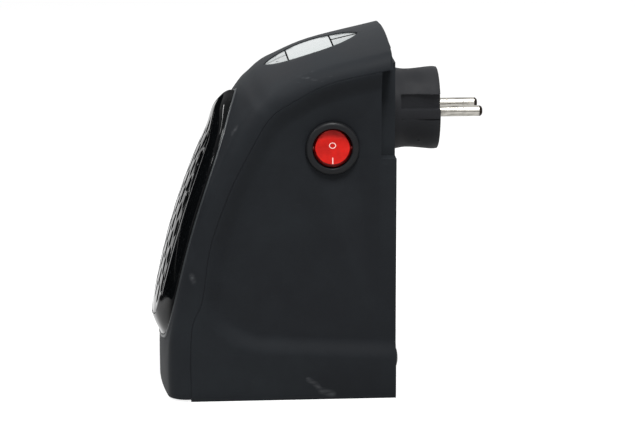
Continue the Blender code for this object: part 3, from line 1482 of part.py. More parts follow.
def make_motor(bench):
    """A can motor with a front boss round the shaft."""
    start = motor_front()
    edge = MOTOR_BOSS_HEIGHT / 2
    bore = SHAFT_RADIUS + GAP
    profile = [
        (0.0, MOTOR_LENGTH),
        (MOTOR_BOSS_RADIUS, MOTOR_LENGTH),
        (MOTOR_BOSS_RADIUS, MOTOR_LENGTH - edge),
        (MOTOR_RADIUS - edge, MOTOR_LENGTH - edge),
        (MOTOR_RADIUS, MOTOR_LENGTH - 2 * edge),
        (MOTOR_RADIUS, MOTOR_BOSS_HEIGHT + edge),
        (MOTOR_RADIUS - edge, MOTOR_BOSS_HEIGHT),
        (MOTOR_BOSS_RADIUS, MOTOR_BOSS_HEIGHT),
        (MOTOR_BOSS_RADIUS, 0.0),
        (bore, 0.0),
        (bore, SHAFT_INSERT + GAP),
        (0.0, SHAFT_INSERT + GAP),
    ]
    return bench.turned("fan_motor", profile, facing_back(0, start, FAN_HEIGHT), "steel")


def make_fan(bench):
    """The shaft and the axial impeller on it."""
    front = fan_front()
    frame = facing_back(0, front, FAN_HEIGHT)
    nose = HUB_WALL * 2
    bore = SHAFT_RADIUS + GAP
    profile = [
        (0.0, nose),
        (bore, nose),
        (bore, IMPELLER_DEPTH),
        (HUB_RADIUS, IMPELLER_DEPTH),
        (HUB_RADIUS, nose / 2),
        (HUB_RADIUS - nose / 4, nose / 8),
        (HUB_RADIUS - nose / 2, 0.0),
        (0.0, 0.0),
    ]
    impeller = bench.turned("impeller", profile, frame, "black")
    join(impeller, blade_ring(bench, frame))
    shaft = bench.rod(
        "fan_shaft",
        SHAFT_RADIUS,
        (0, front + nose + GAP, FAN_HEIGHT),
        (0, motor_front() + SHAFT_INSERT, FAN_HEIGHT),
        "steel",
    )
    return [impeller, shaft]


def blade_section(radius, chord, pitch):
    """A thin cambered section wrapped on a cylinder: a loop of eight points."""
    upper, lower = [], []
    for share in (-1 / 2, -1 / 5, 1 / 5, 1 / 2):
        bow = chord * BLADE_CAMBER_SHARE * (1 - 4 * share**2)
        for side, row in ((1, upper), (-1, lower)):
            along = share * chord
            out = bow + side * BLADE_THICKNESS / 2
            turn = along * math.cos(pitch) - out * math.sin(pitch)
            height = along * math.sin(pitch) + out * math.cos(pitch)
            angle = turn / radius
            across, up = radius * math.cos(angle), radius * math.sin(angle)
            row.append(Vector((across, up, IMPELLER_DEPTH / 2 + height)))
    return [*upper, *reversed(lower)]


def blade_ring(bench, frame):
    """All the blades in one helper mesh: each twists and widens from the hub to the tip."""
    bm = bmesh.new()
    root = HUB_RADIUS - HUB_WALL / 2
    loops = []
    for span in range(BLADE_SPANS + 1):
        share = span / BLADE_SPANS
        radius = root + share * (FAN_RADIUS - root)
        chord = BLADE_ROOT_CHORD + share * (BLADE_TIP_CHORD - BLADE_ROOT_CHORD)
        pitch = BLADE_ROOT_PITCH + share * (BLADE_TIP_PITCH - BLADE_ROOT_PITCH)
        loops.append(blade_section(radius, chord, pitch))
    for blade in range(BLADE_COUNT):
        turn = Matrix.Rotation(2 * math.pi * blade / BLADE_COUNT, 4, "Z")
        rows = [[bm.verts.new(turn @ point) for point in loop] for loop in loops]
        for first, second in zip(rows, rows[1:]):
            for i in range(len(first)):
                j = (i + 1) % len(first)
                bm.faces.new((first[i], first[j], second[j], second[i]))
        bm.faces.new(rows[0][::-1])
        bm.faces.new(rows[-1])
    bmesh.ops.recalc_face_normals(bm, faces=bm.faces)
    return bench.shape("impeller_blades", bm, place=frame)


# Heating core

def make_fin(bench, name, width, height, depth, place):
    """A strip of foil folded into flat-topped waves, with its origin at its middle."""
    bm = bmesh.new()
    reach = height / 2 - FIN_FOIL / 2
    pitch = (width - FIN_FOIL) / FIN_FOLDS
    path = []
    for fold in range(FIN_FOLDS):
        start = -width / 2 + FIN_FOIL / 2 + fold * pitch
        for share, level in FIN_WAVE_SHARES:
            path.append(bm.verts.new((start + share * pitch, -depth / 2, level * reach)))
    edges = [bm.edges.new(pair) for pair in zip(path, path[1:])]
    wide = bmesh.ops.extrude_edge_only(bm, edges=edges)["geom"]
    moved = [item for item in wide if isinstance(item, bmesh.types.BMVert)]
    bmesh.ops.translate(bm, verts=moved, vec=(0, depth, 0))
    fin = bench.shape(name, bm, "aluminium", place)
    foil = fin.modifiers.new("Foil", "SOLIDIFY")
    foil.thickness = FIN_FOIL
    foil.offset = 0
    foil.use_even_offset = True
    return fin


def make_heater(bench):
    """A frame in front of the duct with heating bars between folded fins, and its thermal cut-out."""
    half = duct_half()
    back = duct_front() - GAP
    front = back - HEATER_DEPTH
    corners = ((-half, front, FAN_HEIGHT - half), (half, back, FAN_HEIGHT + half))
    frame = bench.box("heater_frame", *corners, "white")
    room = half - HEATER_FRAME_WALL
    cut(
        frame,
        bench.box(
            "heater_window",
            (-room, front - CUT_OVERRUN, FAN_HEIGHT - room),
            (room, back + CUT_OVERRUN, FAN_HEIGHT + room),
        ),
    )
    width = 2 * (room - GAP)
    gaps = 2 * BAR_COUNT + 2
    fin_height = (2 * room - BAR_COUNT * BAR_HEIGHT - gaps * GAP) / (BAR_COUNT + 1)
    z = FAN_HEIGHT - room + GAP
    for row in range(BAR_COUNT + 1):
        place = Matrix.Translation((0, (front + back) / 2, z + fin_height / 2))
        make_fin(bench, f"fin_strip_{row + 1}", width, fin_height, back - front, place)
        z += fin_height + GAP
        if row < BAR_COUNT:
            corners = ((-width / 2, front, z), (width / 2, back, z + BAR_HEIGHT))
            bar = bench.box(f"heating_bar_{row + 1}", *corners, "aluminium")
            rounded(bar, BAR_HEIGHT / 6, 1)
            z += BAR_HEIGHT + GAP
    profile = [
        (0.0, CUTOUT_LENGTH),
        (CUTOUT_RADIUS * 3 / 4, CUTOUT_LENGTH),
        (CUTOUT_RADIUS, CUTOUT_LENGTH * 3 / 4),
        (CUTOUT_RADIUS, 0.0),
        (0.0, 0.0),
    ]
    seat = Matrix.Translation((0, (front + back) / 2, FAN_HEIGHT + half + GAP))
    bench.turned("thermal_cutout", profile, seat, "steel", SMALL_ROUND_STEPS)
    return frame


# Main board

def make_main_board(bench):
    """The board on the duct's posts with its relay and capacitor."""
    half = duct_half() - MAIN_BOARD_SIDE_GAP
    length = (BACK_INNER - duct_front()) * MAIN_BOARD_LENGTH_SHARE
    middle = (duct_front() + BACK_INNER) / 2
    low = FAN_HEIGHT + duct_half() + MAIN_BOARD_CLEARANCE + GAP
    top = low + BOARD_THICKNESS
    bench.box("main_board", (-half, middle - length / 2, low), (half, middle + length / 2, top), "board")
    width, depth, height = RELAY_SIZE
    x = -half / 2
    start = middle - length / 2 + MAIN_BOARD_SIDE_GAP
    relay = bench.box(
        "relay", (x - width / 2, start, top + GAP), (x + width / 2, start + depth, top + GAP + height), "blue"
    )
    rounded(relay, MAIN_BOARD_SIDE_GAP / 2, 1)
    edge = CAPACITOR_RADIUS / 6
    profile = [
        (0.0, CAPACITOR_LENGTH),
        (CAPACITOR_RADIUS - edge, CAPACITOR_LENGTH),
        (CAPACITOR_RADIUS, CAPACITOR_LENGTH - edge),
        (CAPACITOR_RADIUS, edge),
        (CAPACITOR_RADIUS - edge, 0.0),
        (0.0, 0.0),
    ]
    place = Matrix.Translation((-half / 2, start + depth + 2 * CAPACITOR_RADIUS, top + GAP))
    bench.turned("capacitor", profile, place, "black", SMALL_ROUND_STEPS)


def main():
    clear_scene()
    bench = Bench()
    skin = Skin()
    make_front_cover(bench, skin)
    make_rear_housing(bench, skin)
    make_bezel(bench, skin)
    make_grille(bench, skin)
    make_key_panel(bench, skin)
    rocker = make_switch(bench)
    plug = make_plug(bench)
    make_contacts(bench)
    make_duct(bench)
    make_motor(bench)
    fan = make_fan(bench)
    make_heater(bench)
    make_main_board(bench)
    make_bumpers(bench)
    make_screws(bench)
    bpy.context.view_layer.update()
    pivot = (SIDE - RECESS_DEPTH + rocker_pivot_height(), SWITCH_Y, SWITCH_Z)
    carry(axis_empty("rocker_axis", Matrix.Translation(pivot), bench.parts), rocker)
    carry(axis_empty("plug_axis", facing_back(0, BACK, PLUG_HEIGHT), bench.parts), *plug)
    carry(axis_empty("fan_axis", facing_back(0, fan_front(), FAN_HEIGHT), bench.parts), *fan)


main()
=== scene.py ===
"""The dressed plug-in fan heater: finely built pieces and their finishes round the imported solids.

Lengths are metres, Z is up, the front faces -Y, the plug points along +Y and the switch is on the +X side.
"""

from __future__ import annotations

import logging
import math
from collections.abc import Iterable, Sequence
from dataclasses import dataclass, field
from enum import Enum
from functools import cached_property

import bmesh
import bpy
from mathutils import Matrix, Vector


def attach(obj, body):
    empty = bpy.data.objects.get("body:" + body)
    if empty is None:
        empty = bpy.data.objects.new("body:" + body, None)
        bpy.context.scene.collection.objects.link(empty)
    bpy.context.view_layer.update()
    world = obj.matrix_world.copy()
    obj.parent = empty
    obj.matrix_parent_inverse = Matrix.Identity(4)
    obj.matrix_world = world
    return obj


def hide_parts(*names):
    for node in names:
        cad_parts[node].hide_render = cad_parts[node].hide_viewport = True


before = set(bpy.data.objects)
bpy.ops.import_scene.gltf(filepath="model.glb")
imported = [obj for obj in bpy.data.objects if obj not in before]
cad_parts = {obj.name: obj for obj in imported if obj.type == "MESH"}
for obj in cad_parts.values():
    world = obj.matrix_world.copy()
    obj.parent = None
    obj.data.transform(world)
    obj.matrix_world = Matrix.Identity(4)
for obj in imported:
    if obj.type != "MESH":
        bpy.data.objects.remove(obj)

LOG = logging.getLogger("fan_heater")

# Walls of the case, the clearance between its pieces, and how far every cut runs on
WALL = 0.0022
BACK_WALL = 0.0018
GAP = 0.0003
OVERRUN = 0.010
# Points closer than this are one
MERGE = 0.000001
# A face whose normal has this share of the top's direction belongs to the top
UP_SHARE = 0.85
# Noise mostly lies between these two values
NOISE_SPAN = (0.3, 0.7)
# Axes that lay a side view, given as depth and height, square to X
SIDEWAYS = Matrix(((0, 0, 1, 0), (1, 0, 0, 0), (0, 1, 0, 0), (0, 0, 0, 1)))

Colour = tuple[float, float, float, float]
Pair = tuple[float, float]
Triple = tuple[float, float, float]
Outline = list[Vector]
Rows = Sequence[Sequence[Vector]]
Profile = list[Pair]
Socket = bpy.types.NodeSocket


class Body(Enum):
    """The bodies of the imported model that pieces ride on."""

    HOUSING = "housing"
    FAN = "fan"
    ROCKER = "rocker"
    PLUG = "plug"
    KEY_FRONT_LEFT = "key_front_left"
    KEY_FRONT_RIGHT = "key_front_right"
    KEY_REAR_LEFT = "key_rear_left"
    KEY_REAR_RIGHT = "key_rear_right"


class Side(Enum):
    """The left (-X) and the right (+X) half."""

    LEFT = -1
    RIGHT = 1


# Colours and node trees

def linear(code: str) -> Colour:
    """Turns an sRGB hex colour into linear RGBA.

    Args:
        code: six hex digits.

    Returns:
        The linear colour with full alpha.
    """
    parts = [int(code[i:i + 2], 16) / 255 for i in (0, 2, 4)]
    values = [part / 12.92 if part <= 0.04045 else ((part + 0.055) / 1.055) ** 2.4 for part in parts]
    return (values[0], values[1], values[2], 1.0)


class Recipe:
    """The node tree of one finish, with the patterns that the finishes share."""

    def __init__(self, owner: bpy.types.Material | bpy.types.World) -> None:
        """Empties the tree.

        Args:
            owner: the material or the world that the tree belongs to.
        """
        owner.use_nodes = True
        self.owner = owner
        self.tree = owner.node_tree
        self.tree.nodes.clear()

    @cached_property
    def place(self) -> Socket:
        """The piece's own coordinates, in metres."""
        return self.add("TexCoord").outputs["Object"]

    def add(
        self,
        kind: str,
        settings: dict[str, object] | None = None,
        values: dict[str | int, object] | None = None,
        links: dict[str | int, Socket] | None = None,
    ) -> bpy.types.Node:
        """Adds a node with its settings, its sockets' values and its incoming links.

        Args:
            kind: the node's type, without the word that all of them start with.
            settings: the node's own properties.
            values: values of its input sockets.
            links: the sockets that feed its inputs.

        Returns:
            The new node.
        """
        node = self.tree.nodes.new(f"ShaderNode{kind}")
        for name, value in (settings or {}).items():
            setattr(node, name, value)
        for name, value in (values or {}).items():
            node.inputs[name].default_value = value
        for name, source in (links or {}).items():
            self.tree.links.new(source, node.inputs[name])
        return node

    def noise(
        self, size: float, detail: float = 2.0, rough: float = 0.5, place: Socket | None = None
    ) -> Socket:
        """Noise whose lumps are about as wide as a real size.

        Args:
            size: width of the lumps in metres.
            detail: number of finer layers.
            rough: strength of the finer layers.
            place: the coordinates, where they aren't the piece's own.

        Returns:
            The noise's value.
        """
        values = {"Scale": 1 / size, "Detail": detail, "Roughness": rough}
        return self.add("TexNoise", values=values, links={"Vector": place or self.place}).outputs["Fac"]

    def ramp(
        self, source: Socket, low: float, high: float, to_low: float = 0.0, to_high: float = 1.0
    ) -> Socket:
        """Maps a value from one range to another and clamps it.

        Args:
            source: the value.
            low: start of its range.
            high: end of its range.
            to_low: result at low.
            to_high: result at high.

        Returns:
            The mapped value.
        """
        values = {"From Min": low, "From Max": high, "To Min": to_low, "To Max": to_high}
        return self.add("MapRange", values=values, links={"Value": source}).outputs["Result"]

    def uneven(self, source: Socket, middle: float, spread: Pair, span: Pair = NOISE_SPAN) -> Socket:
        """Lets a value rise and fall about its middle with a pattern.

        Args:
            source: the pattern.
            middle: the middle value.
            spread: how far it goes below the middle, as a negative number, and above it.
            span: the part of the pattern's range that it follows.

        Returns:
            The value.
        """
        return self.ramp(source, *span, middle + spread[0], middle + spread[1])

    def blend(self, share: Socket, first: Socket | str, second: str) -> Socket:
        """Mixes two colours by a share.

        Args:
            share: 0 gives the first colour and 1 the second.
            first: a colour's socket, or its hex digits.
            second: hex digits.

        Returns:
            The mixed colour.
        """
        # The colours' sockets are the sixth and the seventh, and the mixed colour is the second output
        node = self.add("Mix", {"data_type": "RGBA"}, {7: linear(second)}, {0: share})
        if isinstance(first, str):
            node.inputs[6].default_value = linear(first)
        else:
            self.tree.links.new(first, node.inputs[6])
        return node.outputs[2]

    def maths(self, operation: str, first: Socket, second: Socket) -> Socket:
        """Combines two values.

        Args:
            operation: the maths operation.
            first: one value.
            second: the other.

        Returns:
            The result.
        """
        return self.add("Math", {"operation": operation}, links={0: first, 1: second}).outputs[0]

    def mapped(self, turn: float = 0.0, stretch: Triple = (1.0, 1.0, 1.0)) -> Socket:
        """The piece's coordinates, turned about X and stretched.

        Args:
            turn: the angle.
            stretch: the scale along each axis.

        Returns:
            The new coordinates.
        """
        values = {"Rotation": (turn, 0.0, 0.0), "Scale": stretch}
        return self.add("Mapping", values=values, links={"Vector": self.place}).outputs["Vector"]

    def from_stroke(self, start: Vector, end: Vector) -> Socket:
        """Distance from a straight stroke.

        Args:
            start: one end of the stroke.
            end: the other.

        Returns:
            The distance.
        """
        along = end - start
        away = self.add("VectorMath", {"operation": "SUBTRACT"}, {1: start}, {0: self.place}).outputs[0]
        reach = self.add("VectorMath", {"operation": "DOT_PRODUCT"}, {1: along}, {0: away}).outputs["Value"]
        share = self.ramp(reach, 0.0, along.length_squared)
        foot = self.add("VectorMath", {"operation": "SCALE"}, {0: along}, {"Scale": share}).outputs[0]
        return self.add("VectorMath", {"operation": "DISTANCE"}, links={0: away, 1: foot}).outputs["Value"]

    def shade(
        self,
        colour: Socket | None,
        rough: Socket,
        height: Socket | None = None,
        depth: float = 0.0,
        values: dict[str, object] | None = None,
    ) -> bpy.types.Material:
        """Feeds the Principled shader and wires it to the output.

        Args:
            colour: the base colour, where it isn't uniform.
            rough: the roughness.
            height: a pattern that bumps the surface.
            depth: the pattern's real depth in metres.
            values: uniform values of other sockets.

        Returns:
            The finished material.
        """
        links = {"Roughness": rough}
        if colour is not None:
            links["Base Color"] = colour
        if height is not None:
            bump = self.add("Bump", values={"Strength": 1.0, "Distance": depth}, links={"Height": height})
            links["Normal"] = bump.outputs["Normal"]
        shader = self.add("BsdfPrincipled", values=values, links=links)
        self.add("OutputMaterial", links={"Surface": shader.outputs["BSDF"]})
        return self.owner


def material_recipe(name: str) -> Recipe:
    """Starts the node tree of a new material."""
    return Recipe(bpy.data.materials.new(name))


# Finishes

@dataclass(frozen=True)
class MouldedAbs:
    """Charcoal ABS from a spark-eroded mould: an even matte grain, with a few pale rubs from handling."""

    name: str = "charcoal_abs_moulded"
    colour: str = "181a1d"
    worn: str = "1e2124"
    scuff: str = "6b6d70"
    roughness: float = 0.60
    spread: Pair = (-0.05, 0.07)
    specular: float = 0.07
    ior: float = 1.54
    # The real grain is about 0.1 mm. It is drawn at 0.45 mm, one pixel of the view, so that it shows
    grain: float = 0.00045
    grain_depth: float = 0.00003
    cloud: float = 0.030
    worn_span: Pair = (0.35, 0.75)
    scuffs: bool = True
    # Faint streaks lean forwards, in only a few patches
    lean: float = math.radians(-52)
    streak: float = 0.0016
    streak_stretch: float = 0.22
    streak_span: Pair = (0.62, 0.78)
    patch: float = 0.017
    patch_span: Pair = (0.66, 0.76)
    rub_strength: float = 0.16
    # Crumbs that make the worst scuffs ragged, and how strongly those show
    crumb: float = 0.0011
    crumb_span: Pair = (0.38, 0.62)
    scuff_strength: Pair = (0.08, 0.26)
    # Ends and radii of the worst scuffs: beside the bezel, and at the foot of the right side
    strokes: tuple[tuple[Triple, Triple, float], ...] = (
        ((0.0366, -0.0184, 0.1204), (0.0352, -0.0196, 0.1186), 0.0014),
        ((0.0437, -0.0384, 0.0566), (0.0437, -0.0374, 0.0545), 0.0011),
        ((0.0450, 0.0126, 0.0092), (0.0450, 0.0158, 0.0070), 0.0009),
        ((0.0450, 0.0158, 0.0070), (0.0450, 0.0186, 0.0036), 0.0010),
        ((0.0450, 0.0186, 0.0036), (0.0450, 0.0232, 0.0024), 0.0013),
    )
    stroke_fade: float = 1.6

    def build(self) -> bpy.types.Material:
        """Makes the material.

        Returns:
            The material.
        """
        recipe = material_recipe(self.name)
        clouds = recipe.noise(self.cloud, detail=4.0, rough=0.6)
        colour = recipe.blend(recipe.ramp(clouds, *self.worn_span), self.colour, self.worn)
        if self.scuffs:
            colour = recipe.blend(self.rubs(recipe), colour, self.scuff)
        rough = recipe.uneven(clouds, self.roughness, self.spread)
        grain = recipe.noise(self.grain, detail=1.0)
        values = {"Specular IOR Level": self.specular, "IOR": self.ior}
        return recipe.shade(colour, rough, grain, self.grain_depth, values)

    def rubs(self, recipe: Recipe) -> Socket:
        """Short pale streaks in a few patches, and the worst scuffs.

        Args:
            recipe: the node tree.

        Returns:
            How strongly the surface is rubbed.
        """
        leaning = recipe.mapped(self.lean, (1.0, self.streak_stretch, 1.0))
        streaks = recipe.ramp(recipe.noise(self.streak, detail=3.0, place=leaning), *self.streak_span)
        patches = recipe.ramp(recipe.noise(self.patch, detail=1.0), *self.patch_span)
        rubbed = recipe.ramp(recipe.maths("MULTIPLY", streaks, patches), 0.0, 1.0, 0.0, self.rub_strength)
        crumbs = recipe.noise(self.crumb, detail=3.0, place=leaning)
        ragged = recipe.ramp(crumbs, *self.crumb_span, *self.scuff_strength)
        for start, end, radius in self.strokes:
            away = recipe.from_stroke(Vector(start), Vector(end))
            spot = recipe.ramp(away, 0.0, self.stroke_fade * radius, 1.0, 0.0)
            rubbed = recipe.maths("MAXIMUM", rubbed, recipe.maths("MULTIPLY", spot, ragged))
        return rubbed


@dataclass(frozen=True)
class PolishedAbs:
    """Black ABS from a polished mould: a mirror gloss with a few specks of dust and finger marks."""

    name: str = "black_abs_polished"
    colour: str = "060708"
    dust: str = "5a5c5e"
    specular: float = 0.05
    ior: float = 1.54
    roughness: float = 0.05
    spread: Pair = (0.0, 0.07)
    smear: float = 0.012
    smear_span: Pair = (0.40, 0.75)
    speck: float = 0.0008
    speck_span: Pair = (0.74, 0.80)
    speck_strength: float = 0.08
    wave: float = 0.020
    wave_depth: float = 0.00008

    def build(self) -> bpy.types.Material:
        """Makes the material.

        Returns:
            The material.
        """
        recipe = material_recipe(self.name)
        specks = recipe.noise(self.speck, detail=0.0)
        dusty = recipe.ramp(specks, *self.speck_span, 0.0, self.speck_strength)
        smears = recipe.noise(self.smear, detail=5.0, rough=0.65)
        rough = recipe.uneven(smears, self.roughness, self.spread, self.smear_span)
        waves = recipe.noise(self.wave, detail=0.0)
        values = {"Specular IOR Level": self.specular, "IOR": self.ior}
        colour = recipe.blend(dusty, self.colour, self.dust)
        return recipe.shade(colour, rough, waves, self.wave_depth, values)


@dataclass(frozen=True)
class SilverKey:
    """Silver-lacquered ABS under a clear gloss coat: a pale metallic fleck in a smooth skin."""

    name: str
    colour: str
    fleck: str
    roughness: float = 0.28
    spread: Pair = (-0.06, 0.08)
    metallic: float = 0.25
    coat: float = 0.4
    coat_roughness: float = 0.12
    # Metal flakes are about 0.05 mm. They are drawn at 0.3 mm so that they show
    flake: float = 0.0003
    flake_span: Pair = (0.45, 0.62)
    cloud: float = 0.009
    cloud_span: Pair = (0.35, 0.7)
    cloud_depth: float = 0.00003

    def build(self) -> bpy.types.Material:
        """Makes the material.

        Returns:
            The material.
        """
        recipe = material_recipe(self.name)
        flecks = recipe.ramp(recipe.noise(self.flake, detail=0.0), *self.flake_span)
        clouds = recipe.noise(self.cloud, detail=3.0)
        rough = recipe.uneven(clouds, self.roughness, self.spread, self.cloud_span)
        values = {"Metallic": self.metallic, "Coat Weight": self.coat, "Coat Roughness": self.coat_roughness}
        colour = recipe.blend(flecks, self.colour, self.fleck)
        return recipe.shade(colour, rough, clouds, self.cloud_depth, values)


@dataclass(frozen=True)
class TintedPolycarbonate:
    """Red polycarbonate of the rocker: clear through its skin, so that light glows inside it."""

    name: str = "red_polycarbonate_moulded"
    colour: str = "c41a12"
    deep: str = "a8130c"
    roughness: float = 0.30
    spread: Pair = (0.0, 0.08)
    specular: float = 0.14
    ior: float = 1.58
    # How much light goes through the skin, and how far its red, green and blue reach before the scale
    depth_share: float = 0.35
    depth: Triple = (0.004, 0.0006, 0.0004)
    depth_scale: float = 0.5
    cloud: float = 0.005
    wave: float = 0.003
    wave_depth: float = 0.00004

    def build(self) -> bpy.types.Material:
        """Makes the material.

        Returns:
            The material.
        """
        recipe = material_recipe(self.name)
        clouds = recipe.noise(self.cloud)
        colour = recipe.blend(recipe.ramp(clouds, *NOISE_SPAN), self.colour, self.deep)
        rough = recipe.uneven(clouds, self.roughness, self.spread)
        values = {
            "IOR": self.ior,
            "Specular IOR Level": self.specular,
            "Subsurface Weight": self.depth_share,
            "Subsurface Radius": self.depth,
            "Subsurface Scale": self.depth_scale,
        }
        return recipe.shade(colour, rough, recipe.noise(self.wave, detail=0.0), self.wave_depth, values)


@dataclass(frozen=True)
class PlainPlastic:
    """A plain plastic, moulded or laminated, with clouded gloss and a fine skin."""

    name: str
    colour: str
    shade: str
    roughness: float
    spread: Pair = (-0.05, 0.08)
    lump: float = 0.006
    grain: float = 0.0006
    grain_depth: float = 0.00002
    specular: float = 0.5

    def build(self) -> bpy.types.Material:
        """Makes the material.

        Returns:
            The material.
        """
        recipe = material_recipe(self.name)
        clouds = recipe.noise(self.lump, detail=3.0)
        colour = recipe.blend(recipe.ramp(clouds, *NOISE_SPAN), self.colour, self.shade)
        rough = recipe.uneven(clouds, self.roughness, self.spread)
        grain = recipe.noise(self.grain, detail=1.0)
        return recipe.shade(colour, rough, grain, self.grain_depth, {"Specular IOR Level": self.specular})


@dataclass(frozen=True)
class WorkedMetal:
    """A bare or plated metal with fine lines along the way it was drawn or rolled, and a little oxide in
    clouds. The lines also darken its colour, most on the pins' nickel, as a painted reflection.
    """

    name: str
    colour: str
    tarnish_and_reflection: str
    roughness: float
    spread: Pair = (-0.05, 0.10)
    stretch: Triple = (1.0, 0.04, 1.0)
    line: float = 0.0006
    line_depth: float = 0.00001
    cloud: float = 0.006
    cloud_span: Pair = (0.5, 0.8)
    # How strongly the lines darken the colour: painted reflection lines, strongest on the pins
    streak: float = 0.2
    streak_span: Pair = (0.54, 0.62)

    def build(self) -> bpy.types.Material:
        """Makes the material.

        Returns:
            The material.
        """
        recipe = material_recipe(self.name)
        lines = recipe.noise(self.line, place=recipe.mapped(stretch=self.stretch))
        clouds = recipe.ramp(recipe.noise(self.cloud, detail=4.0, rough=0.6), *self.cloud_span)
        # The mask joins the real oxide clouds and the painted reflection lines
        worn = recipe.maths("MAXIMUM", clouds, recipe.ramp(lines, *self.streak_span, 0.0, self.streak))
        rough = recipe.uneven(lines, self.roughness, self.spread)
        colour = recipe.blend(worn, self.colour, self.tarnish_and_reflection)
        return recipe.shade(colour, rough, lines, self.line_depth, {"Metallic": 1.0})


@dataclass(frozen=True)
class PadPrint:
    """Ink printed from a soft pad: a flat, slightly uneven film."""

    name: str
    colour: str
    thin: str
    patch: float = 0.0012
    thin_span: Pair = (0.55, 0.8)
    roughness: Pair = (0.4, 0.55)

    def build(self) -> bpy.types.Material:
        """Makes the material.

        Returns:
            The material.
        """
        recipe = material_recipe(self.name)
        patches = recipe.noise(self.patch)
        colour = recipe.blend(recipe.ramp(patches, *self.thin_span), self.colour, self.thin)
        return recipe.shade(colour, recipe.ramp(patches, *NOISE_SPAN, *self.roughness))


@dataclass(frozen=True)
class BlackCloth:
    """Black cotton cloth of the studio's flags: no sheen, and a weave too fine to see."""

    name: str = "black_duvetyne_cloth"
    colour: str = "060606"
    weave: float = 0.002
    roughness: Pair = (0.85, 1.0)

    def build(self) -> bpy.types.Material:
        """Makes the material.

        Returns:
            The material.
        """
        recipe = material_recipe(self.name)
        rough = recipe.ramp(recipe.noise(self.weave), *NOISE_SPAN, *self.roughness)
        values = {"Base Color": linear(self.colour), "Specular IOR Level": 0.0}
        return recipe.shade(None, rough, values=values)


class Paint:
    """The finishes of the heater, each made once."""

    def __init__(self) -> None:
        """Builds every finish."""
        self.body = MouldedAbs().build()
        self.gloss = PolishedAbs().build()
        # The lip is part of the cover's moulding; its lighter colour is a painted highlight along its rounded
        # edge, and its lower roughness gives its real gloss
        self.lip = MouldedAbs(
            "charcoal_abs_painted_highlight", "26292b", "2e3133", roughness=0.36, specular=0.25, scuffs=False
        ).build()
        self.silver = SilverKey("silver_lacquered_abs", "8a8f8f", "989d9d").build()
        self.window = SilverKey("silver_tinted_window", "a2a7a7", "a8adad").build()
        self.red = TintedPolycarbonate().build()
        # A darker red for the rocker's flanks and the parts deep in the ring: painted shade from the ring's
        # recess
        self.red_painted_shade = TintedPolycarbonate("red_polycarbonate_painted_shade", "6a0a08", "4a0606").build()
        self.nylon = PlainPlastic("black_nylon_moulded", "0e0f11", "131416", 0.42, specular=0.16).build()
        self.plug = PlainPlastic("black_pvc_moulded", "131417", "1a1b1e", 0.66, specular=0.20).build()
        self.ceramic = PlainPlastic("white_pbt_moulded", "cfcabf", "bdb6a8", 0.5).build()
        self.rubber = PlainPlastic("black_rubber_moulded", "131314", "1b1b1c", 0.75, specular=0.3).build()
        self.relay = PlainPlastic("blue_pbt_moulded", "22406f", "1b355f", 0.4).build()
        self.laminate = PlainPlastic("green_glass_laminate", "1d5a34", "174a2b", 0.35, lump=0.003).build()
        # The pins' dark lengthwise lines are painted reflections, set strong by the streak
        self.nickel = WorkedMetal("nickel_plated_brass_drawn", "b6b3ac", "62605a", 0.26, streak=0.85).build()
        # The pins' domed ends are painted dark: a painted reflection on their rounded tips
        self.tip = WorkedMetal("nickel_tip_painted_reflection", "2a2420", "171310", 0.35).build()
        self.brass = WorkedMetal("brass_rolled", "c9a25a", "96743c", 0.30).build()
        self.steel = WorkedMetal("zinc_plated_steel", "a9abad", "86888a", 0.34).build()
        self.foil = WorkedMetal(
            "aluminium_foil_rolled", "c6c8ca", "a9abad", 0.30, stretch=(1.0, 1.0, 0.1)
        ).build()
        self.ink = PadPrint("white_pad_print", "efd6d0", "dca69d").build()


# Mesh helpers

def smooth_path(points: Iterable[Sequence[float]], steps: int) -> Outline:
    """Runs a Catmull-Rom curve through points.

    Args:
        points: the points that it passes.
        steps: steps in each span.

    Returns:
        The points of the curve.
    """
    given = [Vector(point) for point in points]
    ends = [2 * given[0] - given[1], *given, 2 * given[-1] - given[-2]]
    path = []
    for a, b, c, d in zip(ends, ends[1:], ends[2:], ends[3:]):
        for step in range(steps):
            t = step / steps
            square, cube = 2 * a - 5 * b + 4 * c - d, 3 * b - a - 3 * c + d
            path.append((2 * b + t * (c - a) + t**2 * square + t**3 * cube) / 2)
    path.append(given[-1])
    return path


def eased_share(value: float, start: float, full: float) -> float:
    """Rises smoothly from 0 to 1 between two values.

    Args:
        value: the value.
        start: where it starts to rise.
        full: where it reaches 1.

    Returns:
        The share.
    """
    share = min(max((value - start) / (full - start), 0.0), 1.0)
    return share * share * (3 - 2 * share)


def quarter(steps: int, first: int = 0) -> Profile:
    """Divides a quarter turn into equal steps.

    Args:
        steps: number of steps.
        first: the first step that is kept.

    Returns:
        The sine and the cosine at each step.
    """
    angles = [math.pi / 2 * step / steps for step in range(first, steps + 1)]
    return [(math.sin(angle), math.cos(angle)) for angle in angles]


def shifted_path(path: Outline, distance: float) -> Outline:
    """Moves an open plane path to its left.

    Args:
        path: the path.
        distance: how far it moves.

    Returns:
        The moved path.
    """
    moved = []
    for i, point in enumerate(path):
        along = (path[min(i + 1, len(path) - 1)] - path[max(i - 1, 0)]).normalized()
        moved.append(Vector((point[0] - along[1] * distance, point[1] + along[0] * distance)))
    return moved


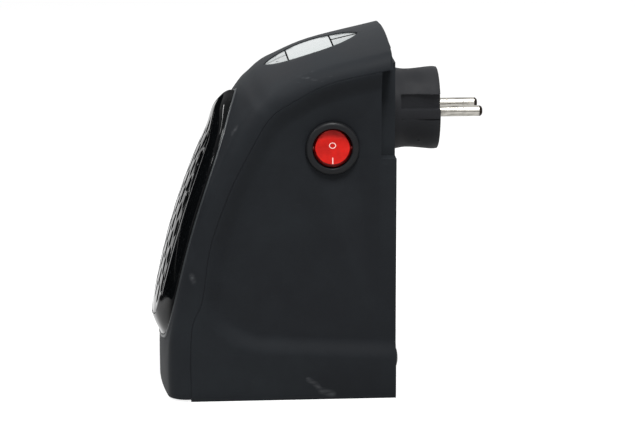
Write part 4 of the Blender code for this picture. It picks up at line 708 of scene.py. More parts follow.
def shrunk_loop(loop: Outline, distance: float) -> Outline:
    """Moves a closed anticlockwise outline inwards.

    Args:
        loop: the outline.
        distance: how far it moves.

    Returns:
        The moved outline.
    """
    moved = []
    for i, point in enumerate(loop):
        before = (point - loop[i - 1]).normalized()
        after = (loop[(i + 1) % len(loop)] - point).normalized()
        inward = Vector((-before[1] - after[1], before[0] + after[0])).normalized()
        square = Vector((-after[1], after[0]))
        # A sharp corner moves at most twice as far as the edges
        moved.append(point + inward * distance / max(inward.dot(square), 0.5))
    return moved


def inside(point: Vector, loop: Outline) -> bool:
    """Says whether a point lies inside a closed outline.

    Args:
        point: the point.
        loop: the outline.

    Returns:
        True if it lies inside.
    """
    crossings = 0
    for first, second in zip(loop, [*loop[1:], loop[0]]):
        if (first.y > point.y) != (second.y > point.y):
            x = first.x + (point.y - first.y) / (second.y - first.y) * (second.x - first.x)
            crossings += point.x < x
    return crossings % 2 == 1


def woven(rows: Rows, wrap: bool = False, ring: bool = False, caps: bool = False) -> bmesh.types.BMesh:
    """Lays a grid on rows of points.

    Args:
        rows: rows with as many points each.
        wrap: whether each row closes on itself.
        ring: whether the last row joins the first.
        caps: whether the open ends are filled.

    Returns:
        The mesh, facing outwards.
    """
    cloth = [[*row, row[0]] if wrap else list(row) for row in rows]
    if ring:
        cloth.append(cloth[0])
    down, across = len(cloth) - 1, len(cloth[0]) - 1
    bm = bmesh.new()
    bmesh.ops.create_grid(bm, x_segments=down, y_segments=across, size=1.0)
    for vert in bm.verts:
        i = round((vert.co.x + 1) / 2 * down)
        j = round((vert.co.y + 1) / 2 * across)
        vert.co = cloth[i][j]
    bmesh.ops.remove_doubles(bm, verts=bm.verts, dist=MERGE)
    if caps:
        bmesh.ops.holes_fill(bm, edges=bm.edges, sides=0)
    bmesh.ops.recalc_face_normals(bm, faces=bm.faces)
    return bm


def turned(profile: Profile, place: Matrix, steps: int) -> bmesh.types.BMesh:
    """Spins a profile of (radius, height) points about the local Z axis.

    Args:
        profile: the points.
        place: where the turned shape stands.
        steps: steps round the axis.

    Returns:
        The mesh, facing outwards.
    """
    bm = bmesh.new()
    verts = [bm.verts.new((radius, 0, height)) for radius, height in profile]
    edges = [bm.edges.new(pair) for pair in zip(verts, verts[1:])]
    bmesh.ops.spin(
        bm,
        geom=[*verts, *edges],
        cent=(0, 0, 0),
        axis=(0, 0, 1),
        dvec=(0, 0, 0),
        angle=2 * math.pi,
        steps=steps,
        use_merge=True,
        use_duplicate=False,
    )
    bmesh.ops.remove_doubles(bm, verts=bm.verts, dist=MERGE)
    bmesh.ops.recalc_face_normals(bm, faces=bm.faces)
    bm.transform(place)
    return bm


def prism(outline: Outline, low: float, high: float, place: Matrix) -> bmesh.types.BMesh:
    """Gives a plane outline thickness along the place's third axis.

    Args:
        outline: the outline in the first two axes.
        low: start of the thickness.
        high: end of the thickness.
        place: the axes.

    Returns:
        The mesh, facing outwards.
    """
    bm = bmesh.new()
    verts = [bm.verts.new((point[0], point[1], low)) for point in outline]
    edges = [bm.edges.new(pair) for pair in zip(verts, [*verts[1:], verts[0]])]
    bmesh.ops.contextual_create(bm, geom=[*verts, *edges])
    lifted = bmesh.ops.extrude_face_region(bm, geom=bm.faces[:])["geom"]
    risen = [item for item in lifted if isinstance(item, bmesh.types.BMVert)]
    bmesh.ops.translate(bm, verts=risen, vec=(0, 0, high - low))
    bmesh.ops.recalc_face_normals(bm, faces=bm.faces)
    bm.transform(place)
    return bm


def block(low: Sequence[float], high: Sequence[float]) -> bmesh.types.BMesh:
    """A box between two corners, for cutting.

    Args:
        low: the lowest corner.
        high: the highest corner.

    Returns:
        The mesh.
    """
    low, high = Vector(low), Vector(high)
    bm = bmesh.new()
    bmesh.ops.create_cube(bm, size=1.0)
    bmesh.ops.scale(bm, verts=bm.verts, vec=high - low)
    bmesh.ops.translate(bm, verts=bm.verts, vec=(low + high) / 2)
    return bm


def rod(radius: float, start: Sequence[float], end: Sequence[float], steps: int = 32) -> bmesh.types.BMesh:
    """A cylinder between two points.

    Args:
        radius: its radius.
        start: the middle of one end.
        end: the middle of the other.
        steps: steps round it.

    Returns:
        The mesh.
    """
    start, end = Vector(start), Vector(end)
    bm = bmesh.new()
    bmesh.ops.create_cone(
        bm, cap_ends=True, segments=steps, radius1=radius, radius2=radius, depth=(end - start).length
    )
    turn = (end - start).to_track_quat("Z", "Y").to_matrix().to_4x4()
    bm.transform(Matrix.Translation((start + end) / 2) @ turn)
    return bm


def as_object(name: str, bm: bmesh.types.BMesh) -> bpy.types.Object:
    """Makes an object at the origin from a mesh and frees the mesh.

    Args:
        name: its name.
        bm: the mesh, in place.

    Returns:
        The object.
    """
    mesh = bpy.data.meshes.new(name)
    bm.to_mesh(mesh)
    bm.free()
    piece = bpy.data.objects.new(name, mesh)
    bpy.context.scene.collection.objects.link(piece)
    return piece


def apply_modifiers(piece: bpy.types.Object) -> None:
    """Makes the modifiers' result the piece's own mesh.

    Args:
        piece: the piece.
    """
    bpy.context.view_layer.update()
    graph = bpy.context.evaluated_depsgraph_get()
    old = piece.data
    piece.data = bpy.data.meshes.new_from_object(piece.evaluated_get(graph))
    piece.modifiers.clear()
    bpy.data.meshes.remove(old)
    piece.data.name = piece.name


def discard(helper: bpy.types.Object) -> None:
    """Removes a helper and its mesh.

    Args:
        helper: the helper.
    """
    mesh = helper.data
    bpy.data.objects.remove(helper, do_unlink=True)
    bpy.data.meshes.remove(mesh)


def combine(piece: bpy.types.Object, others: Iterable[bpy.types.Object], operation: str) -> None:
    """Cuts, joins or intersects a piece with helpers, which are then removed.

    Args:
        piece: the piece.
        others: the helpers.
        operation: DIFFERENCE, UNION or INTERSECT.
    """
    helpers = list(others)
    for other in helpers:
        modifier = piece.modifiers.new(other.name, "BOOLEAN")
        modifier.operation = operation
        modifier.solver = "EXACT"
        modifier.object = other
    apply_modifiers(piece)
    for other in helpers:
        discard(other)


def merged(name: str, helpers: Sequence[bpy.types.Object]) -> bpy.types.Object:
    """Puts separate helpers into one mesh.

    Args:
        name: the new helper's name.
        helpers: the helpers, which are removed.

    Returns:
        The new helper.
    """
    bm = bmesh.new()
    for helper in helpers:
        bm.from_mesh(helper.data)
        discard(helper)
    return as_object(name, bm)


def bevelled(bm: bmesh.types.BMesh, edges: Sequence[bmesh.types.BMEdge], width: float, segments: int) -> None:
    """Rounds some edges of a mesh.

    Args:
        bm: the mesh.
        edges: the edges.
        width: width of the rounding.
        segments: steps of the rounding.
    """
    bmesh.ops.bevel(bm, geom=edges, offset=width, segments=segments, profile=0.5, affect="EDGES", material=-1)


def soften_edges(piece: bpy.types.Object, width: float, angle: float = 40.0, segments: int = 2) -> None:
    """Rounds the piece's sharp edges a little.

    Args:
        piece: the piece.
        width: width of the rounding.
        angle: edges sharper than this, in degrees, are rounded.
        segments: steps of the rounding.
    """
    modifier = piece.modifiers.new("Edges", "BEVEL")
    modifier.width = width
    modifier.segments = segments
    modifier.limit_method = "ANGLE"
    modifier.angle_limit = math.radians(angle)
    apply_modifiers(piece)


def present(
    piece: bpy.types.Object,
    material: bpy.types.Material,
    body: Body,
    replaced: Sequence[str] = (),
    crease: float = 32.0,
) -> None:
    """Finishes a piece: shading, material, the body that it rides on and the nodes that it stands for.

    Args:
        piece: the piece.
        material: its finish.
        body: the body that it moves with.
        replaced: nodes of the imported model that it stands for.
        crease: edges sharper than this, in degrees, are shaded sharp.
    """
    piece.data.materials.clear()
    piece.data.materials.append(material)
    piece.data.shade_smooth()
    piece.data.set_sharp_from_angle(angle=math.radians(crease))
    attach(piece, body.value)
    if replaced:
        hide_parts(*replaced)
    LOG.info("%s rides on %s, %d faces", piece.name, body.value, len(piece.data.polygons))


def darken_sides(
    piece: bpy.types.Object, up: Vector, material: bpy.types.Material, level: float = -math.inf
) -> None:
    """Gives the faces that don't look up, or lie low, a second finish.

    So looks a dark moulding whose top alone is lacquered. On the rocker the second finish is a painted shade
    on its flanks and low parts.

    Args:
        piece: the piece.
        up: the direction of its lacquered top.
        material: the finish of the rest.
        level: how far along that direction the low part ends.
    """
    piece.data.materials.append(material)
    for polygon in piece.data.polygons:
        if polygon.normal.dot(up) < UP_SHARE or polygon.center.dot(up) < level:
            polygon.material_index = 1


def facing_back(x: float, y: float, z: float) -> Matrix:
    """A place whose local Z points along +Y."""
    return Matrix.Translation((x, y, z)) @ Matrix.Rotation(-math.pi / 2, 4, "X")


def facing_right(x: float, y: float, z: float) -> Matrix:
    """A place whose local Z points along +X."""
    return Matrix.Translation((x, y, z)) @ Matrix.Rotation(math.pi / 2, 4, "Y")


# The shared outer surface

@dataclass
class Skin:
    """The outer surface of the front and the hood: a side outline, crowned across, with rounded corners."""

    height: float = 0.1587
    width: float = 0.090
    depth: float = 0.1027
    corner: float = 0.0085
    steps: int = 6
    # Share of the depth from the front, share of the height, drop at the corners as a share of half the width
    profile: tuple[Triple, ...] = (
        (0.000, 0.000, 0.058),
        (0.000, 0.120, 0.058),
        (0.014, 0.201, 0.058),
        (0.089, 0.417, 0.060),
        (0.179, 0.597, 0.064),
        (0.283, 0.757, 0.085),
        (0.348, 0.829, 0.101),
        (0.394, 0.8595, 0.103),
        (0.440, 0.8845, 0.096),
        (0.500, 0.9055, 0.093),
        (0.669, 0.949, 0.085),
        (0.972, 0.996, 0.084),
    )
    crown_shares: tuple[float, ...] = (0.0, 0.12, 0.24, 0.36, 0.48, 0.60, 0.72, 0.84, 0.93, 1.0)
    corner_steps: int = 10
    stations: Outline = field(default_factory=list)
    inward: Outline = field(default_factory=list)
    lengths: list[float] = field(default_factory=list)

    def __post_init__(self) -> None:
        """Works out the stations of the side outline, their inward directions and their arc lengths."""
        self.side = self.width / 2
        self.front = -self.depth / 2
        self.back = self.depth / 2
        rows = [
            (crown * self.side, self.front + depth * self.depth, height * self.height)
            for depth, height, crown in self.profile
        ]
        self.stations = smooth_path(rows, self.steps)
        last = len(self.stations) - 1
        reach = self.steps // 2
        for i in range(last + 1):
            after, before = self.stations[min(i + reach, last)], self.stations[max(i - reach, 0)]
            along = Vector((0, after.y - before.y, after.z - before.z)).normalized()
            self.inward.append(Vector((0, along.z, -along.y)))
        self.lengths.append(0.0)
        for first, second in zip(self.stations, self.stations[1:]):
            self.lengths.append(self.lengths[-1] + (second.yz - first.yz).length)

    def at(self, along: float) -> tuple[float, Vector, Vector]:
        """Reads the side outline at a length from the base.

        Args:
            along: the length.

        Returns:
            The crown, the point and the inward direction.
        """
        along = min(max(along, 0.0), self.lengths[-1])
        i = max((k for k, length in enumerate(self.lengths) if length <= along), default=0)
        i = min(i, len(self.stations) - 2)
        t = (along - self.lengths[i]) / (self.lengths[i + 1] - self.lengths[i])
        row = self.stations[i].lerp(self.stations[i + 1], t)
        inward = self.inward[i].lerp(self.inward[i + 1], t).normalized()
        return row.x, Vector((0, row.y, row.z)), inward

    def length_at_depth(self, y: float) -> float:
        """Finds where the hood passes a depth.

        Args:
            y: the depth.

        Returns:
            The length along the outline.
        """
        for i in range(len(self.stations) - 1, 0, -1):
            first, second = self.stations[i - 1], self.stations[i]
            if first.y <= y <= second.y:
                share = (y - first.y) / (second.y - first.y)
                return self.lengths[i - 1] + share * (self.lengths[i] - self.lengths[i - 1])
        return self.lengths[-1]

    def knee(self, crown: float, half_width: float, radius: float) -> Pair:
        """Finds where the crown meets the rounded corner.

        Args:
            crown: drop of the crown at its ends.
            half_width: half the width there.
            radius: the corner's radius.

        Returns:
            The distance from the middle, and the crown's slope there.
        """
        lean = math.atan2(2 * crown, half_width - radius)
        return half_width - radius * (1 - math.sin(lean)), lean

    def point(self, x: float, along: float, lift: float) -> Vector:
        """Finds a point of the crowned surface.

        Args:
            x: distance across.
            along: length along the outline.
            lift: height above the surface.

        Returns:
            The point.
        """
        crown, middle, inward = self.at(along)
        knee, _ = self.knee(crown, self.side, self.corner)
        return middle + inward * (crown * (x / knee) ** 2 - lift) + Vector((x, 0, 0))

    def arch(self, crown: float, half_width: float, radius: float) -> Profile:
        """Half of the arch across the housing.

        Args:
            crown: drop of the crown at its ends.
            half_width: half the width there.
            radius: the corner's radius.

        Returns:
            Pairs of distance across and drop, from the middle to the side.
        """
        knee, lean = self.knee(crown, half_width, radius)
        pairs = [(knee * share, crown * share**2) for share in self.crown_shares]
        for step in range(1, self.corner_steps + 1):
            angle = lean + (math.pi / 2 - lean) * step / self.corner_steps
            out = knee + radius * (math.sin(angle) - math.sin(lean))
            pairs.append((out, crown + radius * (math.cos(lean) - math.cos(angle))))
        return pairs

    def form(self, name: str, inset: float) -> bpy.types.Object:
        """The whole outer form, run on past the back and the base, or one set in by a wall.

        Args:
            name: the helper's name.
            inset: how far it is set in.

        Returns:
            The closed form.
        """
        rows = [
            (row.x, Vector((0, row.y, row.z)) + inward * inset, inward)
            for row, inward in zip(self.stations, self.inward)
        ]
        crown, last, inward = rows[-1]
        rows.append((crown, last + Vector((0, inward.z, -inward.y)) * -OVERRUN, inward))
        arches = [self.arch(crown, self.side - inset, self.corner - inset) for crown, _, _ in rows]
        columns = []
        for column in range(len(arches[0])):
            loop = []
            for (_, middle, inward), arch in zip(rows, arches):
                x, drop = arch[column]
                loop.append(middle + inward * drop + Vector((x, 0, 0)))
            loop.append(Vector((loop[-1].x, loop[-1].y, -OVERRUN)))
            loop.append(Vector((loop[0].x, loop[0].y, -OVERRUN)))
            columns.append(loop)
        mirrored = [[Vector((-point.x, point.y, point.z)) for point in loop] for loop in columns[:0:-1]]
        return as_object(name, woven([*mirrored, *columns], wrap=True, caps=True))


# Housing

@dataclass
class Housing:
    """The front cover with its hood and the rear housing, divided along the parting line on the sides."""

    skin: Skin
    floor: float = 0.0024
    seam: float = 0.00014
    cover_lift: float = 0.001
    hood_back_wall: float = 0.0038
    # The parting line, as shares of the depth from the front and of the height
    parting_steps: int = 6
    parting: tuple[Pair, ...] = (
        (0.121, 0.000),
        (0.126, 0.200),
        (0.172, 0.286),
        (0.210, 0.441),
        (0.296, 0.597),
        (0.378, 0.703),
        (0.461, 0.793),
        (0.555, 0.837),
        (0.716, 0.888),
        (0.975, 0.925),
    )
    # The sunk panel starts at this row of the parting line and has this lower edge, in the same shares
    recess_start: int = 2
    recess_sill: tuple[Pair, ...] = (
        (0.184, 0.242),
        (0.220, 0.197),
        (0.287, 0.160),
        (0.390, 0.134),
        (0.530, 0.125),
        (1.0, 0.108),
    )
    # Its depth, the width and the steps of the slope round it, and how far that reaches over the edges
    recess_depth: float = 0.0030
    recess_band: float = 0.0092
    recess_steps: int = 10
    recess_lap: float = 0.0003
    notch_ledge: float = 0.1070
    notch_depth: float = 0.0067
    block_half_width: float = 0.0340
    block_top_lift: float = 0.0013
    edge: float = 0.00030
    rear_rounding: float = 0.0012
    rear_rounding_steps: int = 5
    crease: float = math.radians(40)

    def spot(self, row: Pair) -> Vector:
        """Places a pair of shares on the side view.

        Args:
            row: share of the depth from the front, and share of the height.

        Returns:
            The depth and the height.
        """
        return Vector((self.skin.front + row[0] * self.skin.depth, row[1] * self.skin.height))

    def parting_path(self) -> Outline:
        """The parting line on the side view."""
        return smooth_path([self.spot(row) for row in self.parting], self.parting_steps)

    def hood_back(self) -> float:
        """Depth of the hood's rear edge."""
        return self.skin.back - BACK_WALL - GAP

    def recess_loop(self) -> Outline:
        """Outline of the sunk side panel, run on past the back.

        Returns:
            The outline on the side view, anticlockwise seen from +X.
        """
        line = self.parting_path()[self.recess_start * self.parting_steps:]
        rim = [(first + second) / 2 for first, second in zip(line, line[1:])]
        sill = smooth_path([line[0], *[self.spot(row) for row in self.recess_sill]], self.parting_steps)
        beyond = self.skin.back + OVERRUN
        loop = [*sill, Vector((beyond, sill[-1].y)), Vector((beyond, line[-1].y)), *reversed(rim)]
        return shrunk_loop(loop, -self.recess_lap)

    def recess_block(self, name: str, side: Side, grow: float = 0.0) -> bpy.types.Object:
        """The solid that sinks one side panel, with an S-shaped slope round it.

        Args:
            name: the helper's name.
            side: which side.
            grow: how much bigger it is, to keep an inner wall even.

        Returns:
            The helper.
        """
        outline = self.recess_loop()
        rows = []
        # The first row lies outside the case, and the others run down the slope
        bands = [(0.0, -OVERRUN / self.recess_depth)]
        for step in range(self.recess_steps + 1):
            share = step / self.recess_steps
            bands.append((share, eased_share(share, 0.0, 1.0)))
        for band, depth in bands:
            out = depth * self.recess_depth + (grow if depth >= 0 else 0.0)
            loop = shrunk_loop(outline, band * self.recess_band - grow)
            rows.append([Vector((side.value * (self.skin.side - out), y, z)) for y, z in loop])
        return as_object(name, woven(rows, wrap=True, caps=True))

    def notch_block(self, name: str, side: Side, grow: float = 0.0) -> bpy.types.Object:
        """The step in one top rear corner.

        Args:
            name: the helper's name.
            side: which side.
            grow: how much bigger it is.

        Returns:
            The helper.
        """
        ends = sorted((side.value * (self.block_half_width - grow), side.value * (self.skin.side + OVERRUN)))
        low = (ends[0], self.skin.back - self.notch_depth - grow, self.notch_ledge - grow)
        high = (ends[1], self.skin.back + OVERRUN, self.skin.height + OVERRUN)
        return as_object(name, block(low, high))

    def cover_region(self) -> bpy.types.Object:
        """Everything in front of and above the parting line, short of the seam.

        Returns:
            The helper.
        """
        line = shifted_path(self.parting_path(), self.seam)
        line[0].y = self.cover_lift
        line[-1] = Vector((self.hood_back(), line[-1].y))
        far, top = self.skin.front - OVERRUN, self.skin.height + OVERRUN
        outline = [Vector((far, self.cover_lift)), *line, Vector((self.hood_back(), top)), Vector((far, top))]
        return as_object("cover_region", prism(outline, -self.skin.width, self.skin.width, SIDEWAYS))

    def housing_region(self) -> bpy.types.Object:
        """Everything behind and below the parting line.

        Returns:
            The helper.
        """
        line = self.parting_path()
        back = self.hood_back() + GAP
        line[-1] = Vector((back, line[-1].y))
        top = line[-1].y + self.block_top_lift
        wall = [Vector((self.skin.back, 0.0)), Vector((self.skin.back, top))]
        outline = [*reversed(line), *wall, Vector((back, top))]
        return as_object("housing_region", prism(outline, -self.skin.width, self.skin.width, SIDEWAYS))

    def cavity(self, name: str, lift: float, back: float) -> bpy.types.Object:
        """The room inside one half of the case.

        Args:
            name: which half.
            lift: height of its base.
            back: depth where the room ends.

        Returns:
            The helper.
        """
        cavity = self.skin.form(f"{name}_cavity", WALL)
        low = (-self.skin.width, self.skin.front - OVERRUN, lift + self.floor)
        high = (self.skin.width, back, self.skin.height + OVERRUN)
        combine(cavity, [as_object(f"{name}_room", block(low, high))], "INTERSECT")
        return cavity

    def build_cover(self, paint: Paint, openings: Sequence[bpy.types.Object]) -> None:
        """Builds the front cover.

        Args:
            paint: the finishes.
            openings: helpers that cut the outlet and the key panel.
        """
        cover = self.skin.form("front_cover_shell", 0.0)
        combine(cover, [self.cover_region()], "INTERSECT")
        cavity = self.cavity("cover", self.cover_lift, self.hood_back() - self.hood_back_wall)
        combine(cover, [cavity, *openings], "DIFFERENCE")
        self.round_rear_edge(cover)
        soften_edges(cover, self.edge)
        present(cover, paint.body, Body.HOUSING, ["front_cover"])

    def round_rear_edge(self, cover: bpy.types.Object) -> None:
        """Rounds the hood's rear edge more than the other edges.

        Args:
            cover: the front cover.
        """
        bm = bmesh.new()
        bm.from_mesh(cover.data)
        back = self.hood_back()
        low = self.parting[-1][1] * self.skin.height + self.edge
        rim = [
            edge for edge in bm.edges
            if all(abs(vert.co.y - back) < 10 * MERGE for vert in edge.verts)
            and max(vert.co.z for vert in edge.verts) > low
            and edge.calc_face_angle(0.0) > self.crease
        ]
        bevelled(bm, rim, self.rear_rounding, self.rear_rounding_steps)
        bm.to_mesh(cover.data)
        bm.free()

    def build_rear(
        self, paint: Paint, openings: Sequence[bpy.types.Object], posts: Sequence[bpy.types.Object]
    ) -> None:
        """Builds the rear housing.

        Args:
            paint: the finishes.
            openings: helpers that cut its holes.
            posts: helpers joined inside it before the holes are cut.
        """
        shell = self.skin.form("rear_housing_shell", 0.0)
        combine(shell, [self.housing_region()], "INTERSECT")
        cavity = self.cavity("housing", 0.0, self.skin.back - BACK_WALL)
        keepers, cutters = [], []
        for side in Side:
            keepers.append(self.recess_block(f"recess_inside_{side.name}", side, WALL))
            keepers.append(self.notch_block(f"notch_inside_{side.name}", side, WALL))
            cutters.append(self.recess_block(f"recess_{side.name}", side))
            cutters.append(self.notch_block(f"notch_{side.name}", side))
        combine(cavity, keepers, "DIFFERENCE")
        combine(shell, [*cutters, cavity], "DIFFERENCE")
        combine(shell, posts, "UNION")
        combine(shell, openings, "DIFFERENCE")
        soften_edges(shell, self.edge, angle=50.0)
        present(shell, paint.body, Body.HOUSING, ["rear_housing"])


# Outlet

@dataclass
class Outlet:
    """The glossy bezel, the lip of the cover round it and the convex grille of staggered slots."""

    skin: Skin
    half_width: float = 0.0355
    bottom: float = 0.0225
    length: float = 0.1135
    # The outline's left half from head to foot, as shares of the half width and the half length
    outline_steps: int = 8
    outline_shares: tuple[Pair, ...] = (
        (0.00, 1.00),
        (0.33, 0.90),
        (0.67, 0.68),
        (0.90, 0.36),
        (1.00, -0.12),
        (0.99, -0.60),
        (0.85, -0.88),
        (0.45, -0.975),
        (0.00, -1.00),
    )
    shoulder: float = 0.0115
    rise: float = 0.0038
    # How much more the bezel rises at its foot, and less at its head
    tilt: float = 0.18
    # Where the head of the bezel begins to stand out again and where it does so fully, as shares of the half
    # length from the middle, how much it does, and how much narrower the shoulder is there
    head_start: float = 0.70
    head_full: float = 0.94
    head_gain: float = 0.46
    head_squeeze: float = 0.50
    # At the foot: how much narrower the shoulder is, and from where to where it gets how much straighter
    foot_squeeze: float = 0.40
    foot_start: float = 0.55
    foot_full: float = 0.95
    foot_ease: float = 2.0
    skirt_inset: float = 0.0053
    skirt_wall: float = 0.0020
    skirt_depth: float = 0.0032
    # How far the cutter of the cover's hole reaches in and out, as a share of the length
    cutter_share: float = 1 / 8
    # The shoulder's section, as shares of its width and of its rise
    shoulder_shares: tuple[Pair, ...] = (
        (0.0, 0.0),
        (0.012, 0.16),
        (0.045, 0.30),
        (0.10, 0.42),
        (0.18, 0.54),
        (0.28, 0.65),
        (0.40, 0.75),
        (0.54, 0.84),
        (0.70, 0.91),
        (0.85, 0.97),
        (0.96, 1.0),
        (1.0, 0.975),
    )
    thickness: float = 0.0020
    bulge: float = 0.0006
    # Sizes of the rings that the convex plate is laid on, as shares of its own size
    plate_shares: tuple[float, ...] = (1.0, 0.985, 0.9, 0.8, 0.7, 0.6, 0.5, 0.4, 0.3, 0.2, 0.1, 0.02)
    plate_edge: float = 0.0002
    ledge: float = 0.0020
    slot_width: float = 0.0042
    slot_length: float = 0.0094
    slot_tip: float = 0.0022
    column_pitch: float = 0.0056
    row_pitch: float = 0.0128
    margin: float = 0.0003
    lip_width: float = 0.0013
    lip_rise: float = 0.0005
    lip_root: float = 0.0008
    lip_steps: int = 8

    def outline(self) -> Outline:
        """The bezel's outline, anticlockwise.

        Returns:
            Its points as shares of its half width and half length.
        """
        half = smooth_path(self.outline_shares, self.outline_steps)
        left = [Vector((-x, v)) for x, v in half]
        return [*left, *reversed(half[1:-1])]

    def middle(self) -> float:
        """Length along the front at the middle of the bezel."""
        return self.bottom + self.length / 2

    def half_length(self, inset: float, v: float) -> float:
        """Half the length of the outline set in by a distance, which is less at the head and the foot.

        Args:
            inset: the distance.
            v: place along the bezel, from -1 at its foot to 1 at its head.

        Returns:
            The half length.
        """
        squeeze = self.head_squeeze if v > 0 else self.foot_squeeze
        return self.length / 2 - inset * (1 - squeeze * v * v if inset > 0 else 1)

    def loop(self, inset: float, lift: float, share: float = 1.0, eased: bool = False) -> Outline:
        """The outline set in by a distance and laid on the front.

        Args:
            inset: the distance.
            lift: height above the front.
            share: how much it shrinks towards the middle.
            eased: whether the height belongs to the shoulder, which is straighter at the foot.

        Returns:
            The points.
        """
        loop = []
        for x, v in self.outline():
            across = x * (self.half_width - inset) * share
            along = self.middle() + v * self.half_length(inset, v) * share
            height = self.straightened(lift, v) if eased else lift
            loop.append(self.skin.point(across, along, self.tilted(height, v * share)))
        return loop

    def straightened(self, lift: float, v: float) -> float:
        """Takes the roundness out of the shoulder at the foot of the bezel.

        Args:
            lift: height above the front.
            v: place along the bezel.

        Returns:
            The new height.
        """
        foot = eased_share(-v, self.foot_start, self.foot_full)
        share = min(max((lift - GAP) / (self.rise - GAP), 0.0), 1.0)
        return GAP + (self.rise - GAP) * share ** (1 + self.foot_ease * foot)

    def tilted(self, lift: float, v: float) -> float:
        """Makes a height above the front more towards the foot of the bezel and less towards its head.

        Args:
            lift: the height. Up to the gap it stays.
            v: place along the bezel, from -1 at its foot to 1 at its head.

        Returns:
            The new height.
        """
        gain = self.head_gain * eased_share(v, self.head_start, self.head_full) - self.tilt * v
        return lift + max(lift - GAP, 0.0) * gain

    def opening(self) -> bpy.types.Object:
        """The hole in the cover.

        Returns:
            The helper.
        """
        inset = self.skirt_inset - GAP
        reach = self.length * self.cutter_share
        rows = [self.loop(inset, lift) for lift in (reach, -reach)]
        return as_object("outlet_opening", woven(rows, wrap=True, caps=True))

    def build_bezel(self, paint: Paint) -> None:
        """Builds the bezel.

        Args:
            paint: the finishes.
        """
        ledge = self.rise - self.thickness - GAP
        skirt = self.skirt_inset + self.skirt_wall
        rows = [
            (self.shoulder * inset, GAP + (self.rise - GAP) * rise)
            for inset, rise in self.shoulder_shares
        ]
        rows += [
            (self.shoulder, ledge),
            (self.shoulder + self.ledge, ledge),
            (self.shoulder + self.ledge, GAP),
            (skirt, GAP),
            (skirt, -self.skirt_depth),
            (self.skirt_inset, -self.skirt_depth),
            (self.skirt_inset, GAP),
        ]
        shoulder = len(self.shoulder_shares)
        loops = [self.loop(inset, lift, eased=i < shoulder) for i, (inset, lift) in enumerate(rows)]
        bezel = as_object("outlet_bezel", woven(loops, wrap=True, ring=True))
        present(bezel, paint.gloss, Body.HOUSING, ["grille_bezel"])

    def build_lip(self, paint: Paint) -> None:
        """Builds the cover's lip round the bezel.

        Args:
            paint: the finishes.
        """
        lip = []
        for step in range(self.lip_steps + 1):
            angle = math.pi * step / self.lip_steps
            inset = -GAP - self.lip_width / 2 * (1 + math.cos(angle))
            lip.append((inset, self.lip_rise * math.sin(angle)))
        lip += [(-GAP, -self.lip_root), (-GAP - self.lip_width, -self.lip_root)]
        loops = [self.loop(inset, lift) for inset, lift in lip]
        present(as_object("cover_lip", woven(loops, wrap=True, ring=True)), paint.lip, Body.HOUSING)

    def slot_outline(self, grow: float = 0.0) -> Outline:
        """A long six-sided slot with pointed ends.

        Args:
            grow: how much bigger it is all round.

        Returns:
            Its corners about its middle.
        """
        half_width, half_length = self.slot_width / 2 + grow, self.slot_length / 2 + grow
        level = half_length - self.slot_tip
        corners = ((0, half_length), (-half_width, level), (-half_width, -level))
        return [Vector(corner) for corner in corners] + [Vector((-x, -v)) for x, v in corners]

    def slot_places(self) -> list[Pair]:
        """Finds the slots that lie whole inside the grille's edge.

        Returns:
            The middle of each, across and along the front from the bezel's middle.
        """
        inset = self.shoulder + GAP
        half_width = self.half_width - inset
        edge = [Vector((x * half_width, v * self.half_length(inset, v))) for x, v in self.outline()]
        rows = math.ceil(self.length / 2 / self.row_pitch)
        columns = math.ceil(half_width / self.column_pitch)
        places = []
        for column in range(-columns, columns):
            x = (column + 1 / 2) * self.column_pitch
            stagger = (column % 2) / 2
            for row in range(-rows, rows + 1):
                v = (row + stagger) * self.row_pitch
                if all(inside(Vector((x, v)) + corner, edge) for corner in self.slot_outline(self.margin)):
                    places.append((x, v))
        return places

    def slot_prism(self, x: float, v: float) -> bpy.types.Object:
        """One slot's cutter, square to the plate where it is.

        Args:
            x: its place across.
            v: its place along the front from the bezel's middle.

        Returns:
            The helper.
        """
        along = self.middle() + v
        _, _, inward = self.skin.at(along)
        lift = self.tilted(self.rise, v / (self.length / 2)) - self.thickness / 2
        centre = self.skin.point(x, along, lift)
        up = Vector((0, -inward.z, inward.y))
        axes = Matrix((Vector((1, 0, 0)), up, -inward)).transposed().to_4x4()
        reach = (self.thickness + self.rise) / 2
        place = Matrix.Translation(centre) @ axes
        return as_object("slot", prism(self.slot_outline(), -reach, reach, place))

    def build_grille(self, paint: Paint) -> None:
        """Builds the convex plate and cuts its slots.

        Args:
            paint: the finishes.
        """
        inset = self.shoulder + GAP
        top, bottom = [], []
        for share in self.plate_shares:
            lift = self.rise + self.bulge * (1 - share**2)
            rounding = self.plate_edge if share == 1.0 else 0.0
            top.append(self.loop(inset, lift - rounding, share))
            bottom.append(self.loop(inset, lift - self.thickness, share))
        grille = as_object("outlet_grille", woven([*reversed(top), *bottom], wrap=True, caps=True))
        slots = [self.slot_prism(x, v) for x, v in self.slot_places()]
        combine(grille, [merged("slots", slots)], "DIFFERENCE")
        soften_edges(grille, self.plate_edge, angle=50.0)
        present(grille, paint.gloss, Body.HOUSING, ["front_grille"])


# Key panel

